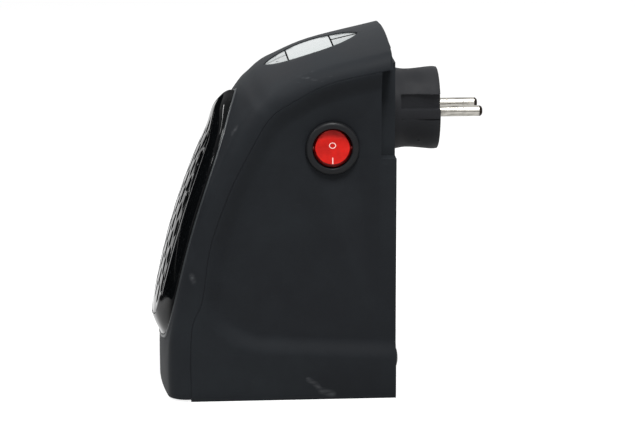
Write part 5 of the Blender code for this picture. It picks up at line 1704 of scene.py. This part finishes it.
@dataclass
class KeyPanel:
    """The lens-shaped panel on the hood: a window across its middle and two keys at each end."""

    skin: Skin
    middle_share: float = 0.660
    half_length: float = 0.0221
    half_width: float = 0.0162
    arc_points: int = 40
    edge_gap: float = 0.0006
    key_gap: float = 0.0007
    front_split: float = 0.0007
    rear_split: float = 0.0022
    front_divider: float = 0.50
    rear_divider: float = 0.43
    proud: float = -0.0003
    key_thickness: float = 0.0016
    window_thickness: float = 0.0020
    stem_radius: float = 0.0018
    stem_shares: Pair = (0.26, 0.66)
    stem_end: float = -0.0075
    edge: float = 0.00025

    def frame(self) -> Matrix:
        """Finds the panel's own axes.

        Returns:
            The axes across, along the hood towards the back, and up out of the hood.
        """
        y = self.skin.front + self.middle_share * self.skin.depth
        _, middle, inward = self.skin.at(self.skin.length_at_depth(y))
        along = Vector((0, -inward.z, inward.y))
        axes = Matrix((Vector((1, 0, 0)), along, -inward)).transposed().to_4x4()
        return Matrix.Translation(middle) @ axes

    def arc(self, inset: float, low: float, high: float) -> Outline:
        """Part of the lens's right edge.

        Args:
            inset: how far it is set in.
            low: its start along the panel, as a share of the half length.
            high: its end.

        Returns:
            The points from low to high.
        """
        length, width = self.half_length - inset, self.half_width - inset
        radius = (length**2 + width**2) / (2 * width)
        start, end = math.asin(low * length / radius), math.asin(high * length / radius)
        points = []
        for step in range(self.arc_points + 1):
            angle = start + (end - start) * step / self.arc_points
            points.append(Vector((radius * (math.cos(angle) - 1) + width, radius * math.sin(angle))))
        return points

    def outline(self, inset: float) -> Outline:
        """The whole lens set in by a distance.

        Args:
            inset: the distance.

        Returns:
            Its outline in the panel's axes.
        """
        arc = self.arc(inset, -1.0, 1.0)[:-1]
        return [*arc, *[Vector((-x, -v)) for x, v in arc]]

    def opening(self) -> bpy.types.Object:
        """The hole in the cover."""
        return as_object("panel_opening", prism(self.outline(0.0), -OVERRUN, OVERRUN, self.frame()))

    def layer(self, name: str, outline: Outline, depth: float) -> bpy.types.Object:
        """A plate cut from the hood's own surface.

        Args:
            name: its name.
            outline: its outline in the panel's axes.
            depth: its thickness.

        Returns:
            The plate.
        """
        plate = as_object(name, prism(outline, -OVERRUN, OVERRUN, self.frame()))
        combine(plate, [self.skin.form("skin_above", -self.proud)], "INTERSECT")
        combine(plate, [self.skin.form("skin_below", depth)], "DIFFERENCE")
        return plate

    def key_outline(self, side: Side, back: int) -> Outline:
        """One quarter of the panel's ends.

        Args:
            side: the left or the right half.
            back: 1 at the rear end and -1 at the front end.

        Returns:
            Its outline in the panel's axes.
        """
        shares = {1: self.rear_divider, -1: self.front_divider}
        split = (self.rear_split if back > 0 else self.front_split) / 2
        divider = self.half_length * shares[back] + self.key_gap / 2
        share = divider / (self.half_length - self.edge_gap)
        arc = [point for point in self.arc(self.edge_gap, share, 1.0) if point.x > split]
        tip = Vector((split, arc[-1].y))
        corners = [Vector((split, divider)), *arc, tip]
        return [Vector((side.value * x, back * v)) for x, v in corners]

    def window_outline(self) -> Outline:
        """The middle of the lens, between the keys.

        Returns:
            Its outline in the panel's axes.
        """
        front, rear = (
            (self.half_length * divider - self.key_gap / 2) / (self.half_length - self.edge_gap)
            for divider in (self.front_divider, self.rear_divider)
        )
        arc = self.arc(self.edge_gap, -front, rear)
        return [*arc, *[Vector((-x, v)) for x, v in reversed(arc)]]

    def stem(self, side: Side, back: int) -> bpy.types.Object:
        """The stem under one key, which presses its switch.

        Args:
            side: the left or the right half.
            back: 1 at the rear end and -1 at the front end.

        Returns:
            The helper.
        """
        across, along = self.stem_shares
        x, v = side.value * across * self.half_width, back * along * self.half_length
        ends = [self.frame() @ Vector((x, v, z)) for z in (self.stem_end, -self.key_thickness)]
        return as_object("stem", rod(self.stem_radius, *ends))

    def build(self, paint: Paint) -> None:
        """Builds the window and the four keys.

        Args:
            paint: the finishes.
        """
        window = self.layer("display_cover", self.window_outline(), self.window_thickness)
        soften_edges(window, self.edge)
        present(window, paint.window, Body.HOUSING, ["display_window"])
        up = self.frame().col[2].to_3d()
        darken_sides(window, up, paint.nylon)
        for end, back in (("front", -1), ("rear", 1)):
            for side in Side:
                node = f"key_{end}_{side.name.lower()}"
                key = self.layer(f"{node}_cap", self.key_outline(side, back), self.key_thickness)
                soften_edges(key, self.edge)
                combine(key, [self.stem(side, back)], "UNION")
                present(key, paint.silver, Body(node), [node])
                darken_sides(key, up, paint.nylon)


# Rocker switch

@dataclass
class RockerSwitch:
    """The round switch in the sunk side: a black ring and barrel, and a red rocker with its two marks."""

    skin: Skin
    y: float = 0.0233
    z: float = 0.1123
    recess: float = 0.0030
    ring_radius: float = 0.01175
    ring_height: float = 0.0019
    # As shares of the ring's width: width and depth of the hollow that leads into the bore, where the flat
    # ends, and where the round outer half starts. The round half is a little fuller than a circle's
    hollow_share: float = 0.16
    hollow_depth_share: float = 0.30
    flat_share: float = 0.40
    round_share: float = 0.45
    round_power: float = 0.8
    barrel_radius: float = 0.0101
    barrel_length: float = 0.0185
    rocker_radius: float = 0.00835
    # Height of the face at the hinge, and how much of it the painted shade on the rocker's flanks reaches
    centre_height: float = 0.0014
    painted_shade_share: float = 0.75
    rocker_depth: float = 0.0050
    # The upper end of the face falls back from here on, by this slope
    fall_start: float = 0.0037
    fall_slope: float = 0.13
    # Heights and distances in from the rim of the cone that chamfers the rocker
    chamfer: tuple[Pair, ...] = ((0.0045, 0.0034), (0.0004, 0.0), (-0.0006, -0.0010))
    swing: float = math.radians(20)
    v_angle: float = math.radians(4)
    # The V's bottom is drawn round by this radius, in steps of this size
    v_radius: float = 0.0006
    v_step: float = 0.0003
    v_steps: int = 8
    edge: float = 0.0003
    pin_radius: float = 0.0009
    pin_length: float = 0.0008
    floor: float = 0.0015
    # The marks' height above the face, and the middle of the ring and of the bar on the face
    ink: float = 0.00006
    ink_lift: float = 0.00002
    ring_mark_place: float = 0.0010
    ring_mark_radii: Pair = (0.0012, 0.0015)
    ring_mark_squash: float = 0.84
    bar_mark_place: float = -0.0056
    bar_mark: Pair = (0.0014, 0.00018)
    bar_mark_edge: float = 0.00003

    def face(self) -> float:
        """The sunk side's place along X."""
        return self.skin.side - self.recess

    def hole(self) -> bpy.types.Object:
        """The hole in the side wall.

        Returns:
            The helper.
        """
        start = (self.face() - OVERRUN / 2, self.y, self.z)
        end = (self.skin.side + OVERRUN, self.y, self.z)
        return as_object("switch_hole", rod(self.barrel_radius + GAP, start, end, steps=72))

    def build(self, paint: Paint) -> None:
        """Builds the ring and barrel, the rocker and its marks.

        Args:
            paint: the finishes.
        """
        place = facing_right(self.face(), self.y, self.z)
        body = as_object("switch_ring_and_barrel", turned(self.ring_profile(), place, steps=96))
        pivot = Vector((self.face() - GAP, self.y, self.z))
        combine(body, [self.hinge_pin("pin_hole", pivot, GAP)], "DIFFERENCE")
        present(body, paint.nylon, Body.HOUSING, ["switch_body"])
        self.build_rocker(paint, pivot)
        self.build_marks(paint, pivot)

    def ring_profile(self) -> Profile:
        """The section of the ring, its bore and the barrel.

        Returns:
            Radii and heights above the sunk side.
        """
        bore = self.rocker_radius + GAP
        top = GAP + self.ring_height
        width = self.ring_radius - bore
        hollow, depth = width * self.hollow_share, width * self.hollow_depth_share
        profile = [(0.0, -bore - self.floor), (bore, -bore - self.floor), (bore, top - depth)]
        for sin, cos in quarter(8, first=1)[:-1]:
            profile.append((bore + hollow * (1 - cos), top - depth * (1 - sin)))
        profile.append((bore + width * self.flat_share, top))
        for sin, cos in quarter(9):
            out = bore + width * (self.round_share + (1 - self.round_share) * sin)
            profile.append((out, GAP + self.ring_height * cos**self.round_power))
        profile += [
            (self.barrel_radius, GAP),
            (self.barrel_radius, -self.barrel_length),
            (0.0, -self.barrel_length),
        ]
        return profile

    def hinge_pin(self, name: str, pivot: Vector, grow: float = 0.0) -> bpy.types.Object:
        """The rocker's hinge pin, or its hole.

        Args:
            name: the helper's name.
            pivot: the middle of the hinge.
            grow: how much bigger it is all round.

        Returns:
            The helper.
        """
        reach = Vector((0, self.rocker_radius + self.pin_length + grow, 0))
        return as_object(name, rod(self.pin_radius + grow, pivot - reach, pivot + reach))

    def tilt(self, pivot: Vector) -> Matrix:
        """The rocker's axes at rest: X out through its middle and Z up its face."""
        return Matrix.Translation(pivot) @ Matrix.Rotation(-self.swing / 2, 4, "Y")

    def build_rocker(self, paint: Paint, pivot: Vector) -> None:
        """Builds the rocker from a ball, cut by its shallow V face and by the cone that chamfers it.

        Args:
            paint: the finishes.
            pivot: the middle of its hinge.
        """
        outward = self.tilt(pivot) @ Matrix.Rotation(math.pi / 2, 4, "Y")
        bm = bmesh.new()
        bmesh.ops.create_uvsphere(bm, u_segments=96, v_segments=48, radius=self.rocker_radius)
        bm.transform(outward)
        rocker = as_object("rocker_cap", bm)
        reach = 2 * self.rocker_radius
        lengthways = Matrix(((1, 0, 0, 0), (0, 0, -1, 0), (0, 1, 0, 0), (0, 0, 0, 1)))
        faces = prism(self.face_outline(reach), -reach, reach, self.tilt(pivot) @ lengthways)
        rims = [(self.rocker_radius - inset, height) for height, inset in self.chamfer]
        cone = turned([(0.0, rims[0][1]), *rims, (rims[-1][0], -reach), (0.0, -reach)], outward, steps=96)
        combine(rocker, [as_object("rocker_faces", faces), as_object("rocker_cone", cone)], "INTERSECT")
        combine(rocker, [self.hinge_pin("pins", pivot)], "UNION")
        soften_edges(rocker, self.edge, angle=35.0, segments=3)
        present(rocker, paint.red, Body.ROCKER, ["rocker"])
        # The rocker's flanks and its parts low in the bore get the darker red: painted shade from the ring
        out = self.tilt(pivot).col[0].to_3d()
        darken_sides(rocker, out, paint.red_painted_shade, pivot.dot(out) + self.centre_height * self.painted_shade_share)

    def face_outline(self, reach: float) -> Outline:
        """The side view of the rocker's face: a shallow V with a soft bottom, falling back at the upper end.

        Args:
            reach: how far it runs on up and down.

        Returns:
            Its points: out from the hinge, and up the face.
        """
        slope = math.tan(self.v_angle)
        middle = [step * self.v_step for step in range(-self.v_steps, self.v_steps + 1)]
        face = [
            Vector((self.centre_height + slope * math.hypot(z, self.v_radius), z))
            for z in (-reach, *middle, self.fall_start)
        ]
        face.append(Vector((face[-1].x - self.fall_slope * (reach - self.fall_start), reach)))
        return [Vector((-self.rocker_depth, -reach)), *face, Vector((-self.rocker_depth, reach))]

    def on_face(self, pivot: Vector, height: float) -> Matrix:
        """A place on the rocker's face whose local Z points out of it.

        Args:
            pivot: the middle of the hinge.
            height: how far it is up the face.

        Returns:
            The place.
        """
        out = self.centre_height + math.tan(self.v_angle) * abs(height) + self.ink_lift
        turn = math.pi / 2 + math.copysign(self.v_angle, height)
        return self.tilt(pivot) @ Matrix.Translation((out, 0, height)) @ Matrix.Rotation(turn, 4, "Y")

    def build_marks(self, paint: Paint, pivot: Vector) -> None:
        """Builds the ring on the upper half and the bar on the lower half.

        Args:
            paint: the finishes.
            pivot: the middle of the hinge.
        """
        inner, outer = self.ring_mark_radii
        profile = [(inner, 0.0), (inner, self.ink), (outer, self.ink), (outer, 0.0), (inner, 0.0)]
        squash = Matrix.Diagonal((self.ring_mark_squash, 1.0, 1.0, 1.0))
        ring = turned(profile, self.on_face(pivot, self.ring_mark_place) @ squash, steps=40)
        present(as_object("mark_off", ring), paint.ink, Body.ROCKER)
        x, y = self.bar_mark
        bar = block((-x, -y, 0.0), (x, y, self.ink))
        bevelled(bar, bar.edges[:], self.bar_mark_edge, 1)
        bar.transform(self.on_face(pivot, self.bar_mark_place))
        present(as_object("mark_on", bar), paint.ink, Body.ROCKER)


# Mains plug

@dataclass
class MainsPlug:
    """The moulded plug that turns in the back wall, with its two pins."""

    skin: Skin
    z: float = 0.1214
    radius: float = 0.0184
    length: float = 0.0216
    neck_radius: float = 0.0157
    neck_depth: float = 0.0062
    # Share of the length from the back wall, share of the radius
    outline: tuple[Pair, ...] = (
        (1.000, 0.965),
        (0.993, 0.982),
        (0.970, 0.995),
        (0.850, 1.000),
        (0.560, 0.964),
        (0.400, 0.951),
        (0.270, 0.955),
        (0.120, 0.985),
        (0.000, 1.000),
    )
    outline_steps: int = 4
    edge: float = 0.0003
    pocket_share: float = 0.81
    pocket_width: float = 0.0065
    pocket_offset: float = 0.00565
    pocket_depth: float = 0.0040
    groove_width: float = 0.0006
    groove_depth: float = 0.0005
    groove_offset: float = 0.0021
    pin_radius: float = 0.0024
    pin_length: float = 0.0194
    pin_spacing: float = 0.0190
    pin_tip_share: float = 0.62
    # The gate's mark: its direction from the middle, the row of the outline that it lies at, and its sizes
    gate_angle: float = math.radians(-45)
    gate_row: int = 4
    gate_depth: float = 0.0127
    gate_radius: float = 0.0008
    gate_height: float = 0.0003

    def root(self) -> float:
        """Depth of the plug's root, just clear of the back wall."""
        return self.skin.back + GAP

    def neck_hole(self) -> bpy.types.Object:
        """The hole in the back wall.

        Returns:
            The helper.
        """
        start = (0, self.skin.back - OVERRUN, self.z)
        end = (0, self.skin.back + OVERRUN, self.z)
        return as_object("neck_hole", rod(self.neck_radius + GAP, start, end, steps=72))

    def build(self, paint: Paint) -> None:
        """Builds the moulded body and the pins.

        Args:
            paint: the finishes.
        """
        waist = smooth_path(self.outline, self.outline_steps)
        profile = [(0.0, self.length)]
        profile += [(self.radius * radius, self.length * length) for length, radius in waist]
        profile += [
            (self.neck_radius, 0.0),
            (self.neck_radius, -self.neck_depth - GAP),
            (0.0, -self.neck_depth - GAP),
        ]
        body = as_object("plug_moulding", turned(profile, facing_back(0, self.root(), self.z), steps=112))
        end = self.root() + self.length
        start = end - self.length * self.pocket_share
        cutters = []
        for side in Side:
            cutters += self.side_cuts(side, start, end)
            x = side.value * self.pin_spacing / 2
            hole = rod(self.pin_radius + GAP, (x, end - 3 * OVERRUN, self.z), (x, end + OVERRUN, self.z))
            cutters.append(as_object("pin_hole", hole))
            self.build_pin(paint, side, end)
        combine(body, cutters, "DIFFERENCE")
        soften_edges(body, self.edge, angle=45.0)
        present(body, paint.plug, Body.PLUG, ["plug_body"], crease=38.0)
        self.build_gate_mark(paint)

    def side_cuts(self, side: Side, start: float, end: float) -> list[bpy.types.Object]:
        """The pocket and the groove in one side of the plug.

        Args:
            side: which side.
            start: depth where they start.
            end: depth of the plug's end.

        Returns:
            The helpers.
        """
        cuts = []
        rows = (
            (side.value * self.pocket_offset, self.pocket_width, self.pocket_depth),
            (-side.value * self.groove_offset, self.groove_width, 2 * self.groove_depth),
        )
        for offset, width, depth in rows:
            ends = sorted((side.value * (self.radius - depth), side.value * (self.radius + OVERRUN)))
            low = (ends[0], start, self.z + offset - width / 2)
            high = (ends[1], end + OVERRUN, self.z + offset + width / 2)
            cuts.append(as_object("side_cut", block(low, high)))
        return cuts

    def build_pin(self, paint: Paint, side: Side, end: float) -> None:
        """Builds one round pin with a domed tip.

        Args:
            paint: the finishes.
            side: which side.
            end: depth of the plug's end.
        """
        inner = self.skin.back - self.neck_depth - GAP
        length = self.pin_length + end - inner
        tip = self.pin_radius * self.pin_tip_share
        place = facing_back(side.value * self.pin_spacing / 2, inner, self.z)
        hand = side.name.lower()
        dome = [(0.0, length)]
        for sin, cos in quarter(8, first=1):
            dome.append((self.pin_radius - tip * (1 - sin), length - tip * (1 - cos)))
        dome.append((0.0, length - tip))
        # The dark finish of the domed end is a painted reflection
        end_cap = as_object(f"contact_tip_{hand}", turned(dome, place, steps=48))
        present(end_cap, paint.tip, Body.PLUG)
        shank = [(0.0, length - tip), (self.pin_radius, length - tip), (self.pin_radius, 0.0), (0.0, 0.0)]
        pin = as_object(f"contact_pin_{hand}", turned(shank, place, steps=48))
        present(pin, paint.nickel, Body.PLUG, [f"plug_pin_{hand}"])

    def build_gate_mark(self, paint: Paint) -> None:
        """Builds the low button that the mould's gate left on the underside.

        Args:
            paint: the finishes.
        """
        out = Vector((math.cos(self.gate_angle), 0.0, math.sin(self.gate_angle)))
        radius = self.radius * self.outline[self.gate_row][1]
        foot = Vector((0.0, self.root() + self.gate_depth, self.z)) + out * radius
        place = Matrix.Translation(foot) @ out.to_track_quat("Z", "Y").to_matrix().to_4x4()
        profile = [(self.gate_radius * sin, self.gate_height * cos) for sin, cos in quarter(8)]
        profile.append((0.0, -self.gate_height))
        present(as_object("gate_mark", turned(profile, place, steps=24)), paint.plug, Body.PLUG)


# Small fittings

@dataclass
class Fittings:
    """The screws with their posts, the rubber bumpers and the intake slots of the back wall."""

    skin: Skin
    screw_radius: float = 0.0014
    head_radius: float = 0.0027
    head_height: float = 0.0018
    screw_length: float = 0.0150
    # How much of the head's radius and height its round top starts at, how much of the length the thread
    # covers, its root's share of the radius, and its ridges and roots together
    head_flat_share: float = 0.4
    head_side_share: float = 0.35
    thread_share: float = 0.9
    thread_root_share: float = 0.8
    thread_turns: int = 18
    # Half length and half width of the cross, as shares of the head's radius
    cross_shares: Pair = (0.55, 0.11)
    boss_radius: float = 0.0042
    low_place: Pair = (0.0300, 0.0105)
    high_place: Pair = (0.0285, 0.1385)
    split_share: float = 0.58
    high_post: float = 0.0100
    bumper_place: Pair = (0.0350, 0.0160)
    bumper_radius: float = 0.0045
    bumper_rise: float = 0.0015
    bumper_stem: float = 0.0018
    bumper_stem_length: float = 0.0050
    intake_half_width: float = 0.0290
    intake_bottom: float = 0.0272
    intake_slot: float = 0.0026
    intake_pitch: float = 0.0056
    intake_rows: int = 12
    intake_rib: float = 0.0036

    def posts(self) -> list[tuple[str, Side, float, float, float]]:
        """The four screw posts.

        Returns:
            The level, the side, the place across and up, and the front end of each.
        """
        low = self.skin.front + self.split_share * self.skin.depth + GAP
        high = self.skin.back - BACK_WALL - self.high_post
        levels = (("low", self.low_place, low), ("high", self.high_place, high))
        return [(level, side, side.value * x, z, front) for side in Side for level, (x, z), front in levels]

    def solids(self) -> list[bpy.types.Object]:
        """The posts, joined to the housing.

        Returns:
            The helpers.
        """
        middle = self.skin.back - BACK_WALL / 2
        return [
            as_object("post", rod(self.boss_radius, (x, front, z), (x, middle, z)))
            for _, _, x, z, front in self.posts()
        ]

    def holes(self) -> list[bpy.types.Object]:
        """The screw wells, the bumper holes and the intake slots.

        Returns:
            The helpers.
        """
        beyond = self.skin.back + OVERRUN
        rods = []
        for _, _, x, z, front in self.posts():
            seat = front + 2 * WALL
            rods.append(("well", self.head_radius, (x, seat, z), (x, beyond, z)))
            rods.append(("shank", self.screw_radius, (x, front - OVERRUN, z), (x, seat + WALL, z)))
        for side in Side:
            x, z = side.value * self.bumper_place[0], self.bumper_place[1]
            start = (x, self.skin.back - BACK_WALL - OVERRUN, z)
            rods.append(("bumper_hole", self.bumper_stem, start, (x, beyond, z)))
        cutters = [as_object(name, rod(radius + GAP, start, end)) for name, radius, start, end in rods]
        return [*cutters, self.intake()]

    def intake(self) -> bpy.types.Object:
        """The air slots of the back wall, in two columns.

        Returns:
            The helper.
        """
        beyond = self.skin.back + OVERRUN
        slots = []
        width = self.intake_half_width - self.intake_rib / 2
        for row in range(self.intake_rows):
            z = self.intake_bottom + row * self.intake_pitch
            for side in Side:
                middle = side.value * (self.intake_rib + width) / 2
                low = (middle - width / 2, self.skin.back - 2 * BACK_WALL, z - self.intake_slot / 2)
                high = (middle + width / 2, beyond, z + self.intake_slot / 2)
                slots.append(as_object("intake", block(low, high)))
        return merged("intake_slots", slots)

    def build(self, paint: Paint) -> None:
        """Builds the screws and the bumpers.

        Args:
            paint: the finishes.
        """
        for level, side, x, z, front in self.posts():
            self.build_screw(paint, f"{level}_{side.name.lower()}", (x, front + 2 * WALL + GAP, z))
        rise = self.bumper_rise - GAP
        profile = [(self.bumper_radius * sin, GAP + rise * cos) for sin, cos in quarter(12)]
        profile += [
            (self.bumper_stem, GAP),
            (self.bumper_stem, -self.bumper_stem_length),
            (0.0, -self.bumper_stem_length),
        ]
        x, z = self.bumper_place
        for side in Side:
            hand = side.name.lower()
            mesh = turned(profile, facing_back(side.value * x, self.skin.back, z), steps=48)
            bumper = as_object(f"bumper_{hand}", mesh)
            present(bumper, paint.rubber, Body.HOUSING, [f"wall_bumper_{hand}"])

    def build_screw(self, paint: Paint, name: str, seat: Triple) -> None:
        """Builds one pan-head screw with a cross recess.

        Args:
            paint: the finishes.
            name: which screw.
            seat: the underside of its head.
        """
        flat, edge = self.head_flat_share, self.head_side_share
        profile = [(0.0, self.head_height)]
        for sin, cos in quarter(8, first=1):
            out = self.head_radius * (flat + (1 - flat) * sin)
            profile.append((out, self.head_height * (edge + (1 - edge) * cos)))
        profile += [(self.head_radius, 0.0), (self.screw_radius, 0.0)]
        for turn in range(self.thread_turns):
            level = -self.screw_length * self.thread_share * (turn + 1) / self.thread_turns
            profile.append((self.screw_radius * (self.thread_root_share if turn % 2 else 1.0), level))
        profile.append((0.0, -self.screw_length))
        screw = as_object(f"screw_{name}", turned(profile, facing_back(*seat), steps=32))
        x, y, z = seat
        arm, slot = (self.head_radius * share for share in self.cross_shares)
        cuts = []
        for wide, high in ((arm, slot), (slot, arm)):
            low = (x - wide, y + self.head_height * edge, z - high)
            top = (x + wide, y + self.head_height * 2, z + high)
            cuts.append(as_object("cross", block(low, top)))
        combine(screw, cuts, "DIFFERENCE")
        present(screw, paint.steel, Body.HOUSING, [f"case_screw_{name}"])


# Inner pieces

class Works:
    """The inner pieces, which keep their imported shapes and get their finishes."""

    def finishes(self, paint: Paint) -> dict[str, bpy.types.Material]:
        """Says which finish each inner node gets.

        Args:
            paint: the finishes.

        Returns:
            The node's name, or the start of it, with its finish.
        """
        return {
            "key_tray": paint.nylon,
            "display_module": paint.ceramic,
            "display_board": paint.laminate,
            "tact_switch": paint.nylon,
            "switch_tab": paint.brass,
            "plug_retainer": paint.ceramic,
            "contact_block": paint.ceramic,
            "slip_ring": paint.brass,
            "wiper": paint.brass,
            "fan_duct": paint.nylon,
            "fan_motor": paint.steel,
            "impeller": paint.nylon,
            "fan_shaft": paint.steel,
            "heater_frame": paint.ceramic,
            "heating_bar": paint.foil,
            "fin_strip": paint.foil,
            "thermal_cutout": paint.steel,
            "main_board": paint.laminate,
            "relay": paint.relay,
            "capacitor": paint.nylon,
        }

    def dress(self, paint: Paint) -> None:
        """Gives the nodes their finishes.

        Args:
            paint: the finishes.
        """
        for start, material in self.finishes(paint).items():
            for name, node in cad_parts.items():
                if name.startswith(start):
                    for holder in node.material_slots:
                        holder.material = material
                    LOG.info("%s keeps its shape, in %s", name, material.name)


# Studio

@dataclass
class Studio:
    """A pale floor under soft light, and the camera at the photograph's angle."""

    floor_half: float = 6.0
    sensor: float = 36.0
    clip: Pair = (0.05, 50.0)
    target: Triple = (0.0, 0.020, 0.074)
    distance: float = 1.400
    azimuth: float = math.radians(85.7)
    elevation: float = math.radians(13.0)
    lens: float = 176.8
    # Name, place, width and height, and watts of each lamp
    lamps: tuple[tuple[str, Triple, Pair, float], ...] = (
        ("overhead_softbox", (0.05, -0.10, 1.00), (0.8, 0.8), 0.3),
        ("key_softbox", (0.48, 0.06, 1.00), (0.30, 0.30), 13.6),
        ("long_strip_softbox", (-0.30, -0.62, 0.88), (0.46, 0.07), 5.0),
        ("short_strip_softbox", (0.28, -0.74, 0.74), (0.14, 0.10), 2.4),
        ("front_softbox", (0.55, -0.95, 0.40), (0.35, 0.35), 0.8),
        ("side_softbox", (1.15, 0.35, 0.75), (0.7, 0.7), 1.2),
        ("back_softbox", (-0.75, 0.75, 0.65), (0.7, 0.7), 2.2),
    )
    # Name, arc in degrees from -X, and rows of distance out and height of the two black cloths
    flags: tuple[tuple[str, Pair, tuple[Pair, ...]], ...] = (
        ("black_flag_hung", (20.0, 127.0), ((1.30, 0.01), (1.30, 0.30), (1.30, 0.55), (1.30, 0.77))),
        ("black_flag_laid", (34.0, 127.0), ((0.24, 0.004), (0.50, 0.004), (0.85, 0.004), (1.28, 0.004))),
    )
    flag_steps: int = 24
    # The paper's clouds and their greys, its grey and its glow to the eye, and the surround's light
    paper_cloud: float = 0.5
    paper_shades: Pair = (0.64, 0.66)
    paper_grey: float = 0.26
    paper_glow: float = 0.86
    world_light: float = 0.10

    def build(self) -> None:
        """Makes the floor, the lights, the world and the camera."""
        self.build_floor()
        self.build_world()
        for name, place, size, power in self.lamps:
            self.build_lamp(name, place, size, power)
        self.build_flags()
        self.build_camera()
        bpy.context.scene.view_settings.view_transform = "Standard"

    def build_floor(self) -> None:
        """A white floor that keeps the object's soft shadow."""
        bm = bmesh.new()
        bmesh.ops.create_grid(bm, x_segments=2, y_segments=2, size=self.floor_half)
        floor = as_object("studio_floor", bm)
        floor.data.materials.append(self.paper())

    def paper(self) -> bpy.types.Material:
        """White paper that looks evenly lit to the eye, and still gives and takes soft light.

        Returns:
            The material.
        """
        recipe = material_recipe("white_paper_sweep")
        cloudy = recipe.ramp(recipe.noise(self.paper_cloud), *NOISE_SPAN, *self.paper_shades)
        paper = recipe.add("BsdfDiffuse", links={"Color": cloudy}).outputs[0]
        grey = (self.paper_grey, self.paper_grey, self.paper_grey, 1.0)
        shown = recipe.add("BsdfDiffuse", values={"Color": grey}).outputs[0]
        glow = recipe.add("Emission", values={"Strength": self.paper_glow}).outputs[0]
        lit = recipe.add("AddShader", links={0: shown, 1: glow}).outputs[0]
        surface = recipe.add("MixShader", links={0: self.seen(recipe), 1: paper, 2: lit}).outputs[0]
        recipe.add("OutputMaterial", links={"Surface": surface})
        return recipe.owner

    def seen(self, recipe: Recipe) -> Socket:
        """Tells camera, glossy and transmitted rays from the rest.

        Args:
            recipe: the node tree.

        Returns:
            1 for those rays and 0 for the others.
        """
        rays = recipe.add("LightPath").outputs
        first = recipe.maths("MAXIMUM", rays["Is Camera Ray"], rays["Is Glossy Ray"])
        return recipe.maths("MAXIMUM", first, rays["Is Transmission Ray"])

    def build_world(self) -> None:
        """A white surround for the eye and for reflections, and a softer one for the light that it gives."""
        world = bpy.data.worlds.new("white_surround")
        bpy.context.scene.world = world
        recipe = Recipe(world)
        strength = recipe.ramp(self.seen(recipe), 0.0, 1.0, self.world_light, 1.0)
        white = {"Color": (1.0, 1.0, 1.0, 1.0)}
        back = recipe.add("Background", values=white, links={"Strength": strength})
        recipe.add("OutputWorld", links={"Surface": back.outputs[0]})

    def build_flags(self) -> None:
        """Black cloths round the front and on the floor, mirrored by the bezel and unseen by the camera."""
        material = BlackCloth().build()
        for name, (first, last), ends in self.flags:
            steps = range(self.flag_steps + 1)
            angles = [math.radians(first + (last - first) * step / self.flag_steps) for step in steps]
            rows = [
                [Vector((-out * math.cos(angle), -out * math.sin(angle), rise)) for angle in angles]
                for out, rise in ends
            ]
            flag = as_object(name, woven(rows))
            flag.data.materials.append(material)
            flag.visible_camera = False
            flag.visible_shadow = False

    def build_lamp(self, name: str, place: Triple, size: Pair, power: float) -> None:
        """One soft area lamp turned to the object.

        Args:
            name: its name.
            place: where it hangs.
            size: its width and height.
            power: its power in watts.
        """
        data = bpy.data.lights.new(name, "AREA")
        data.shape = "RECTANGLE"
        data.size, data.size_y = size
        data.energy = power
        lamp = bpy.data.objects.new(name, data)
        bpy.context.scene.collection.objects.link(lamp)
        lamp.location = place
        lamp.rotation_mode = "QUATERNION"
        lamp.rotation_quaternion = (Vector(self.target) - Vector(place)).to_track_quat("-Z", "Y")

    def build_camera(self) -> None:
        """The camera at the photograph's angle."""
        data = bpy.data.cameras.new("photo_camera")
        data.lens = self.lens
        data.sensor_width = self.sensor
        camera = bpy.data.objects.new("photo_camera", data)
        bpy.context.scene.collection.objects.link(camera)
        out = Vector((
            math.sin(self.azimuth) * math.cos(self.elevation),
            -math.cos(self.azimuth) * math.cos(self.elevation),
            math.sin(self.elevation),
        ))
        camera.location = Vector(self.target) + out * self.distance
        camera.rotation_mode = "QUATERNION"
        camera.rotation_quaternion = (-out).to_track_quat("-Z", "Y")
        data.clip_start, data.clip_end = self.clip
        bpy.context.scene.camera = camera


def main() -> None:
    """Builds the studio, then every sub-assembly in order."""
    logging.basicConfig(level=logging.INFO, format="%(message)s")
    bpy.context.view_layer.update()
    Studio().build()
    paint = Paint()
    skin = Skin()
    outlet = Outlet(skin)
    panel = KeyPanel(skin)
    switch = RockerSwitch(skin)
    plug = MainsPlug(skin)
    fittings = Fittings(skin)
    housing = Housing(skin)
    housing.build_cover(paint, [outlet.opening(), panel.opening()])
    housing.build_rear(paint, [switch.hole(), plug.neck_hole(), *fittings.holes()], fittings.solids())
    outlet.build_bezel(paint)
    outlet.build_lip(paint)
    outlet.build_grille(paint)
    panel.build(paint)
    switch.build(paint)
    plug.build(paint)
    fittings.build(paint)
    Works().dress(paint)


if __name__ == "__main__":
    main()
